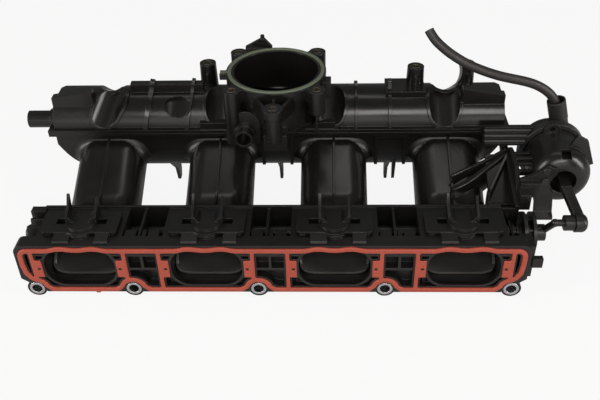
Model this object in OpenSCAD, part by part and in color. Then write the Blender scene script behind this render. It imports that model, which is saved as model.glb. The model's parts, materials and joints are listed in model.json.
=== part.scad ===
// Intake manifold of a four-cylinder engine.
// Frame: origin in the middle of the port row on the head face, which is the plane Y = 0.
// +X runs along the row, +Y from the cylinder head to the plenum, +Z up to the throttle.

/* [Port row] */
// Distance between neighbouring ports
bore_pitch = 88; // [86:0.5:92]
// Width of a port opening
port_w = 49; // [46:0.5:50]
// Height of a port opening
port_h = 31; // [29:0.5:32]
// Height of the port centres above the head face's middle line
port_z = 1; // [0:0.5:1.5]

/* [Head flange] */
// Height of the flange's top edge
flange_top = 20.5; // [20:0.25:23]
// Depth of the flange's bottom edge
flange_bottom = 21.3; // [21:0.25:23]
// Length of the flange beyond the outer port centres
flange_end = 43.5; // [42:0.5:46]
// Thickness of the front plate
plate_t = 11; // [9:0.5:13]
// Depth of the housing from the head face to the runner feet
housing_depth = 44; // [43:0.5:48]
// Thickness of the ribs and thin walls
rib_t = 1.8; // [1.4:0.1:2.2]
// Height of the floor of the open cells
cell_floor = 2; // [0:0.5:5]
// Depth of the pockets in the head face
pocket_depth = 7; // [5:0.5:8]

/* [Head bolts] */
// Height of the bolt line
bolt_z = -18; // [-19:0.25:-17.5]
// Sideways shift of the inner bolts from the gap centres
bolt_shift = -9; // [-11:0.5:-7]
// Distance of an end bolt from the flange's end
end_bolt_in = 9.5; // [8:0.5:11]
// Radius of the bolt hole in a sleeve
bolt_hole_r = 3.55; // [3.2:0.05:3.7]
// Wall of a sleeve
sleeve_wall = 1.7; // [1.4:0.1:1.8]
// Length of a sleeve
sleeve_len = 24; // [20:0.5:28]
// Wall of the boss round a sleeve
bolt_boss_wall = 1.6; // [1.4:0.1:2]

/* [Port gasket] */
// Width of the gasket's outer bead
bead_w = 3.6; // [3.2:0.1:4]
// Width of the upright bars
bar_w = 2.8; // [2.4:0.1:3.2]
// Distance of the upright bars from the port centre
bar_x = 32; // [31.5:0.25:33]
// How far the bead stands proud of the face
bead_proud = 1.2; // [0.8:0.1:1.6]
// Depth of the gasket groove
groove_depth = 2; // [1.5:0.1:2.5]
// Height of the gasket's top edge
gasket_top = 18.2; // [17.8:0.1:18.6]
// Depth of the gasket's bottom edge
gasket_bottom = 20.6; // [20.2:0.1:20.8]
// Rise of the bead over a port
bead_bump = 1.7; // [1.2:0.1:2]

/* [Flaps] */
// Distance of the flap shaft in front of the housing's back edge
shaft_back = 8; // [7:0.25:8.5]
// Height of the flap shaft
shaft_z = 3; // [2:0.25:4]
// Radius of the flap shaft
shaft_r = 2.5; // [2:0.1:2.8]
// Radial running clearance of the shaft in its bushes
run_clear = 0.06; // [0.04:0.01:0.08]
// Thickness of a flap's pan and cheeks
flap_t = 1.8; // [1.4:0.1:2]
// Side clearance between a flap and its frame
flap_clear = 0.7; // [0.5:0.1:1]
// Wall of a flap frame
frame_wall = 2; // [1.6:0.1:2.2]
// Outer radius of a bush
bush_r = 4; // [3.8:0.1:4.4]

/* [Runners] */
// Outer width of a runner
runner_w = 51; // [48:0.5:52]
// Outer height of a runner
runner_h = 37; // [35:0.5:39]
// Corner radius of a runner's outside
runner_corner = 15; // [12:0.5:17]
// Wall of the runners and the plenum
wall = 2.8; // [2.2:0.1:3.2]
// Centreline radius of the runner bend
bend_r = 46; // [42:1:52]
// Fall of the runner where it leaves the head flange, in degrees
runner_fall = 22; // [18:1:24]
// Rise of the runner into the plenum, in degrees
runner_rise = 24; // [20:1:28]
// Height of the rib along a runner's top
runner_rib = 2.4; // [1.5:0.1:3]

/* [Plenum] */
// Distance of the plenum's axis from the head face
plenum_y = 140; // [138:0.5:144]
// Outer radius of the plenum shells
plenum_r = 24; // [23:0.5:26]
// Height of the weld line
weld_z = 40; // [38:0.5:42]
// Height of the lower shell's axis
belly_z = 22; // [20:0.5:24]
// How far the plenum ends inside the flange's end
plenum_in = 1.5; // [0:0.5:3]
// Thickness of each weld flange
weld_t = 2.6; // [2:0.1:3.2]
// Width of the weld flange beyond the wall
weld_rim = 4; // [3:0.25:5]
// Radius of the grooves over the outer runners
groove_r_outer = 13.2; // [12:0.2:14.4]
// Radius of the grooves over the inner runners
groove_r_inner = 11.6; // [10.6:0.2:12.6]
// Height of the tops of the fixing posts
post_top = 78; // [75:0.5:82]
// Outer radius of a fixing post
post_r = 5.9; // [5.5:0.1:6.4]

/* [Throttle flange] */
// Sideways place of the throttle bore
throttle_x = 1; // [-2:0.5:3]
// Distance of the throttle bore from the head face
throttle_y = 124; // [122:0.5:126]
// Height of the throttle face
throttle_z = 87.5; // [84:0.5:92]
// Radius of the throttle bore
throttle_r = 31.6; // [30:0.1:32]
// Wall of the throttle neck
neck_wall = 4.4; // [4:0.1:5]
// Distance between neighbouring throttle screws
screw_pitch = 61; // [60:0.5:64]
// Radius of a throttle screw boss
screw_boss_r = 6.4; // [5.8:0.1:7]
// Radius of the hole in a metal insert
insert_hole_r = 2.5; // [2:0.1:2.8]
// Wall of a metal insert
insert_wall = 1; // [0.8:0.1:1.2]

/* [Actuator] */
// Distance of the actuator's axis beyond the flange's end
pot_out = 33.5; // [32:0.5:36]
// Height of the actuator's axis
pot_z = 27; // [26:0.5:29]
// Distance of the actuator's front face from the head face
pot_y = 64; // [62:0.5:66]
// Outer radius of the actuator's body
pot_r = 21.5; // [20:0.5:22.5]
// Length of the actuator's body in front of its rim
pot_len = 40; // [38:1:44]
// Length of the actuator's cover behind its rim
cover_len = 16; // [15:1:20]
// Wall of the actuator's shells
pot_wall = 1.8; // [1.5:0.1:2.2]
// Width of the actuator's crimped rim beyond its body
rim_w = 3.5; // [3:0.1:4]
// Radius of the opening round the rod
rod_hole_r = 9.4; // [8.8:0.1:10]
// Width of the flat rod
rod_w = 7.6; // [6:0.2:8]
// Thickness of the flat rod
rod_t = 4.6; // [4:0.2:5]

/* [Crank] */
// Distance from the shaft to the crank pin
crank_r = 15; // [14:0.25:16]
// Angle of the crank at rest, from +Y towards +Z
crank_angle = 115; // [112:1:118]
// Turn of the flap shaft from open to closed
flap_travel = 50; // [40:1:52]
// Radius of the crank bar
crank_bar_r = 2.5; // [2.2:0.1:2.7]
// Play of the ball inside its cap, for the pin's arc
ball_play = 1.8; // [1.7:0.1:2]

/* [Hose] */
// Outer diameter of the vacuum hose
hose_d = 7; // [6:0.5:7.5]
// Bore of the vacuum hose
hose_bore = 3.4; // [2:0.2:3.6]

/* [Hidden] */
$fn = 48;
port_count = 4;
seat = 0.3;               // clearance between seated pieces
slip = 0.15;              // clearance round pressed-in inserts

function port_x(i) = (i - (port_count - 1) / 2) * bore_pitch;
function gap_x(i) = (i - (port_count - 2) / 2) * bore_pitch;
ports = [0 : port_count - 1];
gaps = [0 : port_count - 2];
row_half = port_x(port_count - 1) + flange_end;
end_bolt_x = row_half - end_bolt_in;
bolt_xs = concat([-end_bolt_x], [for (i = gaps) gap_x(i) + bolt_shift], [end_bolt_x]);
sleeve_r = bolt_hole_r + sleeve_wall;
bolt_boss_r = sleeve_r + bolt_boss_wall;

shaft_y = housing_depth - shaft_back;
plenum_half = row_half - plenum_in;
pot_x = row_half + pot_out;
rim_r = pot_r + rim_w;

// Chamber behind each port, its frame and its flap
lip_t = 4;                // front lip that holds the frame in
roof_t = 1.6;
frame_top = flange_top - roof_t - slip;
frame_bottom = -17.3;
frame_half = 27.2;
chamber_half = frame_half + slip;
tunnel_wall = 2.6;
inner_top = frame_top - frame_wall;
inner_bottom = frame_bottom + frame_wall;
inner_half = frame_half - frame_wall;
flap_half = inner_half - flap_clear;
pan_z = inner_bottom + 0.4;
pan_front = 11.5;
hub_r = shaft_r + 2;
right_end = row_half + 4;

// Runner centreline in the YZ plane: one bend, then a straight run into the plenum
foot_z = -5;
bend_y = housing_depth + bend_r * sin(runner_fall);
bend_z = foot_z + bend_r * cos(runner_fall);
straight_y = bend_y + bend_r * sin(runner_rise);
straight_z = bend_z - bend_r * cos(runner_rise);
runner_end_y = plenum_y - plenum_r * 0.35;
straight_len = (runner_end_y - straight_y) / cos(runner_rise);
rest_z = bend_z - bend_r - runner_h / 2;

neck_r = throttle_r + neck_wall;
insert_r = insert_hole_r + insert_wall;
seal_w = 2.6;
seal_r = throttle_r + 3.3;
post_places = [[-55, 156], [107.5, 147], [147, 152]];

// Actuator: the plate travels with the rod, the crank pin moves on an arc
pin_y = shaft_y + crank_r * cos(crank_angle);
pin_z = shaft_z + crank_r * sin(crank_angle);
rod_travel = crank_r * (cos(crank_angle - flap_travel) - cos(crank_angle));
crank_x = row_half + 14.5;
collar_x = pot_x - 5.8;
collar_len = 6.6;
collar_r = 5.5;
cap_r = 6.6;
cap_x = collar_x + collar_len + seat;
ball_r = cap_r - 2.1 - ball_play;
rim_y = pot_y + pot_len;
rim_t = 3;
plate_y = rim_y - 5;
plate_r = pot_r - pot_wall - 3;
cover_back = rim_y + rim_t + cover_len;

// Hose sleeve on the cover's nipple, leaning towards the plenum
sleeve_lean = 16;
nipple_foot = [pot_x + 6, rim_y + rim_t + 8.5, pot_z + pot_r - 3];
nipple_dir = [-sin(sleeve_lean), 0, cos(sleeve_lean)];
sleeve_foot = 4.3;
sleeve_height = 16.2;
boot_r = 6.9;
boot_bore = 5.4;

// Vacuum hose, from the nipple to its bare end
hose_route = [[213, 115.5, 53], [211.5, 115.5, 57.5], [209.7, 115.5, 62], [207, 115.5, 66.7],
              [203, 115.5, 71.2], [197, 115.5, 75.6], [190, 115.5, 79], [182.5, 115.5, 81.3],
              [174.5, 115.5, 83.2], [166, 115.5, 85.3], [158, 116, 87.7], [150.5, 117, 90.2],
              [143, 118, 93.2], [136, 120, 96.5], [129, 123, 100.2], [123.5, 126, 103.7],
              [118.5, 129, 107.7], [115, 132, 111.8], [113.5, 133.5, 114.2]];

// ---------- shared shapes ----------

// A plate or bar drawn in the YZ plane and run along X
module along_x(x0, len) {
    translate([x0, 0, 0]) rotate([90, 0, 90]) linear_extrude(len) children();
}

// A plate drawn in the XZ plane and run along Y
module along_y(y0, len) {
    translate([0, y0 + len, 0]) rotate([90, 0, 0]) linear_extrude(len) children();
}

module rod_x(x0, y, z, r, len) {
    translate([x0, y, z]) rotate([0, 90, 0]) cylinder(r = r, h = len);
}

module rod_y(x, y0, z, r, len) {
    translate([x, y0, z]) rotate([-90, 0, 0]) cylinder(r = r, h = len);
}

module tube_y(x, y0, z, r, bore, len) {
    difference() {
        rod_y(x, y0, z, r, len);
        rod_y(x, y0 - 1, z, bore, len + 2);
    }
}

// A straight round bar between two points
module bar(p, q, r) {
    d = q - p;
    len = norm(d);
    translate(p) rotate([0, acos(d[2] / len), atan2(d[1], d[0])]) cylinder(r = r, h = len);
}

module block(lo, hi) {
    translate(lo) cube(hi - lo);
}

// A rectangle with round corners, centred
module round_rect(w, h, r) {
    square([w - 2 * r, h], center = true);
    square([w, h - 2 * r], center = true);
    for (sx = [-1, 1], sy = [-1, 1]) translate([sx * (w / 2 - r), sy * (h / 2 - r)]) circle(r);
}

function arc(c, r, a0, a1, n = 6) =
    [for (k = [0 : n]) c + r * [cos(a0 + (a1 - a0) * k / n), sin(a0 + (a1 - a0) * k / n)]];

// ---------- gasket and head face ----------

// Rise of the gasket's top edge over a port, two humps with a dip between
hump_u = 11.5;
hump_foot = 10;
function hump(u) = abs(u) < hump_u
    ? bead_bump * (1 - 0.7 * pow(cos(90 * u / hump_u), 2))
    : bead_bump * pow(sin(90 * max(0, hump_u + hump_foot - abs(u)) / hump_foot), 2);

bead_arch = sleeve_r + 1.25;         // inner radius of the bead's arch over a sleeve
bead_end = row_half - 2.2;

// Outline of the gasket's loop, moved inwards by d
function loop_top(d) = [for (i = ports, k = [-10 : 10])
    let (u = 2.15 * k) [port_x(i) + u, gasket_top + hump(u) - d]];
function loop_right(d) = concat(
    arc([bead_end - 7, gasket_top - 7], 7 - d, 90, 0),
    [[bead_end - d, 4], [bead_end - 1 - d, -4 + 0.3 * d], [bead_end - 4 - 0.8 * d, -9 + 0.7 * d]],
    arc([end_bolt_x, bolt_z], bead_arch + d, 92, 165),
    [[end_bolt_x - 11 - 0.5 * d, d - gasket_bottom]]);
function loop_bottom(d) = [for (i = [port_count - 2 : -1 : 0]) each concat(
    [[gap_x(i) + bolt_shift + 11 + 0.5 * d, d - gasket_bottom]],
    arc([gap_x(i) + bolt_shift, bolt_z], bead_arch + d, 15, 165, 10),
    [[gap_x(i) + bolt_shift - 11 - 0.5 * d, d - gasket_bottom]])];
function flip(pts) = [for (k = [len(pts) - 1 : -1 : 0]) [-pts[k][0], pts[k][1]]];
function loop(d) = concat(loop_top(d), loop_right(d), loop_bottom(d), flip(loop_right(d)));

// The loop and its upright bars, each side wider by grow
module bead_lines(grow = 0) {
    difference() {
        polygon(loop(-grow));
        polygon(loop(bead_w + grow));
    }
    bar_top = gasket_top - bead_w / 2;
    bar_over_bolt = bolt_z + bead_arch + bead_w / 2;
    for (i = ports, side = [-1, 1]) {
        over = side > 0 || i == 0;
        low = over ? bar_over_bolt : bead_w / 2 - gasket_bottom;
        translate([port_x(i) + side * bar_x - bar_w / 2 - grow, low])
            square([bar_w + 2 * grow, bar_top - low]);
    }
}

tab_in = 25.7;
tab_low = -7;
tab_high = 8;
peg_u = 28.2;
peg_r = 0.9;

module tabs() {
    for (i = ports, side = [-1, 1])
        translate([port_x(i) + side * (tab_in + bar_x) / 2, (tab_low + tab_high) / 2])
            difference() {
                square([bar_x - tab_in, tab_high - tab_low], center = true);
                translate([side * (peg_u - (tab_in + bar_x) / 2), 0]) circle(r = peg_r + slip);
            }
}

module port_gasket() color("orangered") {
    along_y(-bead_proud, bead_proud + groove_depth - 0.1) bead_lines();
    along_y(-bead_proud, bead_proud) tabs();
    translate([-2 * bore_pitch / 2 - 34.5, 0, -gasket_bottom - 1.2]) block([-1.5, -bead_proud, 0], [1.5, 0, 1.6]);
}

module flange_outline() {
    corner = 6;
    right = concat(arc([row_half - corner, flange_top - corner], corner, 90, 0),
                   [[row_half, -9], [end_bolt_x - 7, -flange_bottom]]);
    polygon(concat(right, flip(right)));
    for (x = bolt_xs) translate([x, bolt_z]) circle(r = bolt_boss_r);
}

module port_shape(grow = 0) {
    round_rect(port_w + 2 * grow, port_h + 2 * grow, 13 + grow);
}

// Pockets of the head face between the bead, the bars and the port walls
module face_pockets() {
    land = 1.2;
    difference() {
        polygon(loop(bead_w + land));
        bead_lines(land);
        for (i = ports) {
            translate([port_x(i), port_z]) port_shape(1.8);
            for (side = [-1, 1])
                translate([port_x(i) + side * (tab_in + bar_x) / 2, (tab_low + tab_high) / 2])
                    square([bar_x - tab_in + 2, tab_high - tab_low + 2], center = true);
            translate([port_x(i), 12.2]) square([2 * bar_x, rib_t * 0.8], center = true);
        }
        for (x = bolt_xs) translate([x, bolt_z]) circle(r = bead_arch + bead_w + land);
        for (i = gaps) translate([gap_x(i), 0]) {
            square([2 * (bore_pitch / 2 - bar_x), rib_t], center = true);
            translate([0, 12.2]) square([2 * (bore_pitch / 2 - bar_x), rib_t], center = true);
            translate([-rib_t / 2, 0]) square([rib_t, 12]);
        }
    }
}

// ---------- head flange ----------

// Raised plate with its cradle over one port, in the port's own place
plate_low = flange_top + 1.4;
plate_top = plate_low + 1.9;
cradle_r = 8.5;
cradle_z = plate_top + cradle_r;
module port_cap() {
    half = port_w / 2 + 1.8;
    difference() {
        union() {
            translate([0, (plate_t + 34.5) / 2, plate_low]) linear_extrude(plate_top - plate_low)
                round_rect(2 * half, 34.5 - plate_t, 3);
            translate([0, plate_t + 9, plate_low]) cylinder(r = 12, h = plate_top - plate_low);
        }
        for (side = [-1, 1])
            block([side * 13.6 - 3.9, 20, plate_low - 1], [side * 13.6 + 3.9, 26, plate_top + 1]);
    }
    // legs that join the plate to the tunnel's roof
    for (side = [-1, 1])
        block([side * 22 - 2, plate_t + 1, flange_top - 0.5], [side * 22 + 2, 33, plate_low + 0.5]);
    for (leg = [[-16.4, 11.2], [12.2, 9.3]])
        along_x(leg[0], leg[1])
            polygon([[groove_depth + 0.6, flange_top - 1], [groove_depth + 1.6, flange_top + 1.3], [plate_t + 2, plate_top - 0.4],
                     [plate_t + 2, flange_top - 1]]);
    // rounded nose under the plate's lobe
    translate([0, plate_t + 4, flange_top - 1]) cylinder(r = 8.2, h = plate_low - flange_top + 1.4);
    // round-fronted nose and, behind it, a trough with a lip
    translate([0, plate_t + 11, plate_low + 0.2]) cylinder(r = 10.8, h = plate_top - plate_low + 1.4);
    difference() {
        union() {
            block([-cradle_r - 2.2, plate_t + 10, plate_low + 0.2], [cradle_r + 2.2, 31, plate_top + 3.6]);
            rod_y(0, plate_t + 8.6, cradle_z, cradle_r + 2.4, 2);
        }
        rod_y(0, 0, cradle_z, cradle_r, 50);
        block([-20, plate_t + 8, cradle_z - 3.4], [20, 40, cradle_z + 20]);
    }
    // pointed fins beside the trough
    for (fin = [[-1, 2.4], [1, 0]])
        along_x(fin[0] * (cradle_r + 1.5) - 0.9, 1.8)
            polygon([[21, plate_low], [21, plate_top + 5], [30, cradle_z + 1], [34.6, cradle_z + 4.4 + fin[1]],
                     [35.6, cradle_z + 4 + fin[1]], [33, plate_low]]);
}

module tunnel(x) {
    half = chamber_half + tunnel_wall;
    block([x - half, plate_t - 1, -flange_bottom], [x + half, housing_depth, flange_top]);
}

module chamber(x) {
    block([x - chamber_half, lip_t, frame_bottom - slip],
          [x + chamber_half, housing_depth + 1, frame_top + slip]);
    translate([x, 0, port_z]) along_y(-1, lip_t + 2) port_shape();
}

// Open cell between two tunnels, with its centre rib and the row of stops behind the plate
module gap_cell(x) {
    half = bore_pitch / 2 - chamber_half - tunnel_wall + 0.5;
    rod_x(x - half, shaft_y, shaft_z, shaft_r + 2.6, 2 * half);
    block([x - half, plate_t - 1, cell_floor - rib_t], [x + half, housing_depth, cell_floor]);
    block([x - 2.5 - rib_t / 2, plate_t - 1, cell_floor - 1], [x - 2.5 + rib_t / 2, housing_depth, flange_top - 0.5]);
    for (stop = [[-13, -5], [-0.8, 2], [3.4, 11]])
        block([x + stop[0], plate_t - 1, cell_floor - 1], [x + stop[1], plate_t + 8, flange_top - 1]);
    block([x - rib_t / 2, plate_t - 1, -flange_bottom + 3], [x + rib_t / 2, housing_depth, cell_floor]);
}

cap_disc_r = 15;
tube_r = 5.2;
module head_flange() color("#2b2b2d") {
    difference() {
        union() {
            difference() {
                along_y(0, plate_t) flange_outline();
                along_y(-1, pocket_depth + 1) face_pockets();
                along_y(-1, groove_depth + 1) bead_lines(slip);
            }
            for (i = ports) tunnel(port_x(i));
            for (i = gaps) gap_cell(gap_x(i));
            for (x = bolt_xs) rod_y(x, groove_depth, bolt_z, bolt_boss_r, sleeve_len - groove_depth);
            // rear rim, end floors and slanted end ribs
            block([-row_half + 12, housing_depth - rib_t, -flange_bottom], [row_half - 14, housing_depth, flange_top + 1.5]);
            for (side = [-1, 1]) {
                end = side * (row_half - 6.8);
                block([min(end, side * 160) , plate_t - 1, -3], [max(end, side * 160), housing_depth, -3 + rib_t]);
                block([end - rib_t / 2, plate_t - 1, -8], [end + rib_t / 2, housing_depth - 2, shaft_z + 6]);
            }
            for (y = [18, 27])
                along_x(-row_half + 2.5, 12) polygon([[y, -3], [y + rib_t, -3], [y + 8, flange_top - 3], [y + 8 - rib_t, flange_top - 3]]);
            block([-row_half + 2, housing_depth - 6, 15], [-row_half + 13, housing_depth, flange_top + 0.5]);
            // bearing tube with its rings and disc at the crank end
            rod_x(port_x(3) + 29, shaft_y, shaft_z, tube_r, row_half + 1 - port_x(3) - 29);
            for (x = [row_half - 6, row_half - 3]) rod_x(x, shaft_y, shaft_z, tube_r + 1.6, 1.4);
            rod_x(row_half + 0.6, shaft_y, shaft_z, cap_disc_r, 2.4);
            // plain end tube for the plug, solid down to the end floor
            block([-row_half + 6, 28, -3], [-row_half + 15, shaft_y, shaft_z + 2]);
            rod_x(-row_half + 1, shaft_y, shaft_z, tube_r, 14);
            // end plate and locating lug
            block([row_half - 6, groove_depth + 1, -9], [row_half + 3, plate_t + 6, flange_top - 3]);
            block([row_half + 2, 1, 0.5], [row_half + 9, 5, 8]);
            for (i = ports) translate([port_x(i), 0, 0]) {
                port_cap();
                for (side = [-1, 1]) rod_y(side * peg_u, -bead_proud + 0.2, (tab_low + tab_high) / 2, peg_r, 3);
            }
        }
        for (i = ports) {
            chamber(port_x(i));
            for (side = [-1, 1])
                rod_x(port_x(i) + side * (chamber_half + tunnel_wall / 2) - tunnel_wall, shaft_y, shaft_z,
                      bush_r + 0.05, 2 * tunnel_wall);
        }
        for (x = bolt_xs) rod_y(x, -1, bolt_z, sleeve_r + 0.05, sleeve_len + 2);
        // the shaft's way through the row
        rod_x(-row_half - 2, shaft_y, shaft_z, shaft_r + 0.6, 2 * row_half + 12);
        rod_x(row_half - 3, shaft_y, shaft_z, shaft_r + 1.9, 3.6);
    }
}

// ---------- runners and lower shell ----------

// A section (across, up) swept along one runner's centreline, from in front of its foot
lead_in = 14;
module along_runner(x) {
    translate([x, housing_depth, foot_z]) rotate([90 - runner_fall, 0, 0]) linear_extrude(lead_in) children();
    translate([x, bend_y, bend_z]) rotate([90, 0, 90]) rotate([0, 0, -90 - runner_fall])
        rotate_extrude(angle = runner_fall + runner_rise) translate([bend_r, 0]) rotate(90) children();
    translate([x, straight_y, straight_z]) rotate([runner_rise - 90, 0, 0])
        linear_extrude(straight_len) mirror([0, 1]) children();
}

// Half the runner's size without its round corners
runner_flat = [runner_w / 2 - runner_corner, runner_h / 2 - runner_corner];
module runner_section(inset = 0) {
    r = runner_corner - inset;
    polygon([for (k = [0 : 3])
        let (corner = [(k == 0 || k == 3 ? 1 : -1) * runner_flat[0], (k < 2 ? 1 : -1) * runner_flat[1]])
        each arc(corner, r, 90 * k, 90 * (k + 1), 8)]);
}

// Side view of the shells' ends and their plan, both moved inwards by d
end_low = plenum_half - 24;
end_slope_z = 28;
end_top = weld_z + plenum_r - 4;
module side_limits(d) {
    along_y(plenum_y - plenum_r - 10, 2 * plenum_r + 30)
        polygon([[plenum_half - d, end_top], [plenum_half - 60 - d, end_top + 14], [60 + d - plenum_half, end_top + 14],
                 [d - plenum_half, end_top],
                 [d - plenum_half, end_slope_z], [d - end_low, -10], [end_low - d, -10],
                 [plenum_half - d, end_slope_z]]);
}

module plan_limits(d) {
    translate([0, 0, -20]) linear_extrude(100)
        polygon([[plenum_half - d, plenum_y - plenum_r - 10], [plenum_half - d, plenum_y + 10],
                 [plenum_half - 26 - d, plenum_y + plenum_r + 1], [26 + d - plenum_half, plenum_y + plenum_r + 1],
                 [d - plenum_half, plenum_y + 10], [d - plenum_half, plenum_y - plenum_r - 10]]);
}

// The belly below the weld line, d inside its outer face
module belly(d = 0) {
    intersection() {
        along_x(-plenum_half, 2 * plenum_half) intersection() {
            union() {
                translate([plenum_y, belly_z]) circle(plenum_r - d);
                translate([plenum_y - plenum_r + d, belly_z]) square([2 * (plenum_r - d), weld_z - belly_z + 1]);
            }
            translate([plenum_y - plenum_r, belly_z - plenum_r])
                square([2 * plenum_r, weld_z + (d > 0 ? 1 : 0) - belly_z + plenum_r]);
        }
        side_limits(d);
        plan_limits(d);
    }
}

// Weld flange outline, seen from above
module weld_outline(rim) {
    polygon([[plenum_half + rim, plenum_y - plenum_r - rim], [plenum_half + rim, plenum_y + 11],
             [plenum_half - 24, plenum_y + plenum_r + rim], [24 - plenum_half, plenum_y + plenum_r + rim],
             [-plenum_half - rim, plenum_y + 11], [-plenum_half - rim, plenum_y - plenum_r - rim]]);
}

stub_y = 130;
stub_z = weld_z + 3;
stub_r = 6.75;
fin_t = 2.4;
gusset_x = plenum_half - 2;
gusset_t = 3;
belly_front = plenum_y - plenum_r;
gusset_side = [[housing_depth, -20], [housing_depth, 20], [60, 24], [98, 34], [belly_front - 2, weld_z - 1],
               [belly_front + 2, weld_z - 1], [belly_front + 2, 29], [104, 20], [80, -5]];
foot_t = 2.6;             // thickness of a runner's foot
foot_half = chamber_half + tunnel_wall;

// One runner with its top rib and the foot that closes its flap chamber
module runner(i) color("#262628") {
    x = port_x(i);
    difference() {
        union() {
            along_runner(x) {
                runner_section();
                translate([-rib_t / 2, runner_h / 2 - 1]) square([rib_t, runner_rib + 1]);
            }
            block([x - foot_half, housing_depth, -flange_bottom], [x + foot_half, housing_depth + foot_t, flange_top - 1]);
        }
        along_runner(x) runner_section(wall);
        belly(wall);
        block([x - bore_pitch / 2, housing_depth - 2 * lead_in, -60], [x + bore_pitch / 2, housing_depth, 60]);
    }
}

module lower_shell() color("#262628") {
    difference() {
        union() {
            belly();
            translate([0, 0, weld_z - weld_t]) linear_extrude(weld_t) weld_outline(weld_rim);
            // skirt ribs and the pointed feet under the belly
            for (i = gaps)
                along_x(gap_x(i) - fin_t / 2, fin_t)
                    polygon([[plenum_y - 14, 2], [plenum_y + 14, 2], [plenum_y + 15, rest_z + 6], [plenum_y + 12, rest_z],
                             [plenum_y + 6, rest_z], [plenum_y + 1, -12]]);
            // pointed foot and box-like pockets in front of the belly
            along_x(gap_x(2) + 3, fin_t)
                polygon([[belly_front + 13, 6], [belly_front + 3, 14], [belly_front + 2.6, 6], [belly_front + 9, -12]]);
            for (i = [1 : port_count - 2]) {
                low = belly_z - 12;
                for (side = [-1, 1])
                    block([gap_x(i) + side * 11 - 1.2, belly_front - 3.4, low], [gap_x(i) + side * 11 + 1.2, belly_front + 6, weld_z - 1]);
                block([gap_x(i) - 11, belly_front - 3.4, weld_z - 5.5], [gap_x(i) + 11, belly_front + 1, weld_z - 1]);
            }
            // gusset plate beside the last runner, its webs and its foot
            along_x(gusset_x, gusset_t) polygon(gusset_side);
            web_x = port_x(3) + runner_w / 2 + seat;
            for (web = [[52, 14], [72, 10]])
                block([web_x, web[0], web[1] - 12], [gusset_x + 1, web[0] + rib_t, web[1] + 2]);
            // sloping plate and slanted wall between the runner and the gusset
            along_x(web_x, gusset_x + 1 - web_x) polygon([[48, 2], [96, 30], [97.4, 27.8], [49.4, -0.4]]);
            intersection() {
                translate([0, 0, -5]) linear_extrude(45)
                    polygon([[web_x, 66], [gusset_x + 1, 93], [gusset_x + 1, 89.4], [web_x, 62.4]]);
                along_x(web_x, gusset_x + 1 - web_x) polygon([[56, 4], [62, 19], [95, 35], [95, 26]]);
            }
            block([port_x(3) + foot_half + slip, housing_depth, -3], [gusset_x + 1, housing_depth + foot_t, 18]);
        }
        belly(wall);
        for (i = ports) along_runner(port_x(i)) {
            runner_section(-seat);
            translate([-rib_t / 2 - seat, runner_h / 2 - 1]) square([rib_t + 2 * seat, runner_rib + 1 + seat]);
        }
        rod_x(-plenum_half - 8, stub_y, stub_z, stub_r + 1.6 + seat, 10);
    }
}

// ---------- upper shell ----------

module crown(d = 0) {
    intersection() {
        along_x(-plenum_half, 2 * plenum_half) translate([plenum_y, weld_z]) circle(plenum_r - d);
        side_limits(d);
        plan_limits(d);
        translate([-plenum_half - 1, plenum_y - 50, weld_z - (d > 0 ? 1 : 0)])
            cube([2 * plenum_half + 2, 100, 100]);
    }
}

groove_tilt = 40;
groove_y = plenum_y - plenum_r + 0.6;
groove_wall = 2.4;
// Sideways place, radius, foot height and sideways lean of each groove
grooves = [[-134, groove_r_outer, weld_z + 5.2, 22], [-44.5, groove_r_inner, weld_z + 5.8, 0],
           [42.5, groove_r_inner, weld_z + 5.8, 0], [128.5, groove_r_outer, weld_z + 4.2, 0]];
// A rod along a groove; its lowest line starts at the groove's foot
module groove_rod(g, grow) {
    translate([g[0], groove_y - g[1] * sin(groove_tilt), g[2] + g[1] * cos(groove_tilt)])
        rotate([groove_tilt - 90, 0, -g[3]]) translate([0, 0, -14]) cylinder(r = g[1] + grow, h = 70);
}

// Scoop in the crown's front left of the throttle
scoop = [-76.5, plenum_y - 21.9, weld_z + 9.9];
scoop_r = 12.2;
scoop_tilt = 10;
module scoop_rod(grow) {
    intersection() {
        translate(scoop + scoop_r * [0, -sin(scoop_tilt), cos(scoop_tilt)])
            rotate([scoop_tilt - 90, 0, 0]) translate([0, 0, -14]) cylinder(r = scoop_r + grow, h = 40);
        translate(scoop + [0, 0.6, -5]) cylinder(r = scoop_r + grow, h = 30);
    }
}

neck_floor = 50;
neck_round = 8;
disc_t = 8;
disc_r = seal_r + seal_w / 2 + 1.2;
screw_places = [for (sx = [-1, 1], sy = [-1, 1])
    [throttle_x + sx * screw_pitch / 2, throttle_y + sy * screw_pitch / 2]];
insert_len = 12;
fifth_y = 73;
fifth_z = throttle_z - 3.5;
fifth_r = 7.4;
pipe_x = -21.5;
pipe_z = neck_floor + 4.6;
pipe_r = 6.7;
pipe_bore = 5;
pipe_y = 79;
pipe_free = 7;            // free length of the pipe in front of its collar
bore_low = neck_floor + 8.4;

module neck(r, floor_z, round) {
    translate([throttle_x, throttle_y, 0]) rotate_extrude()
        polygon(concat([[0, floor_z]], arc([r - round, floor_z + round], round, -90, 0, 8), [[r, throttle_z], [0, throttle_z]]));
}

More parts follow.
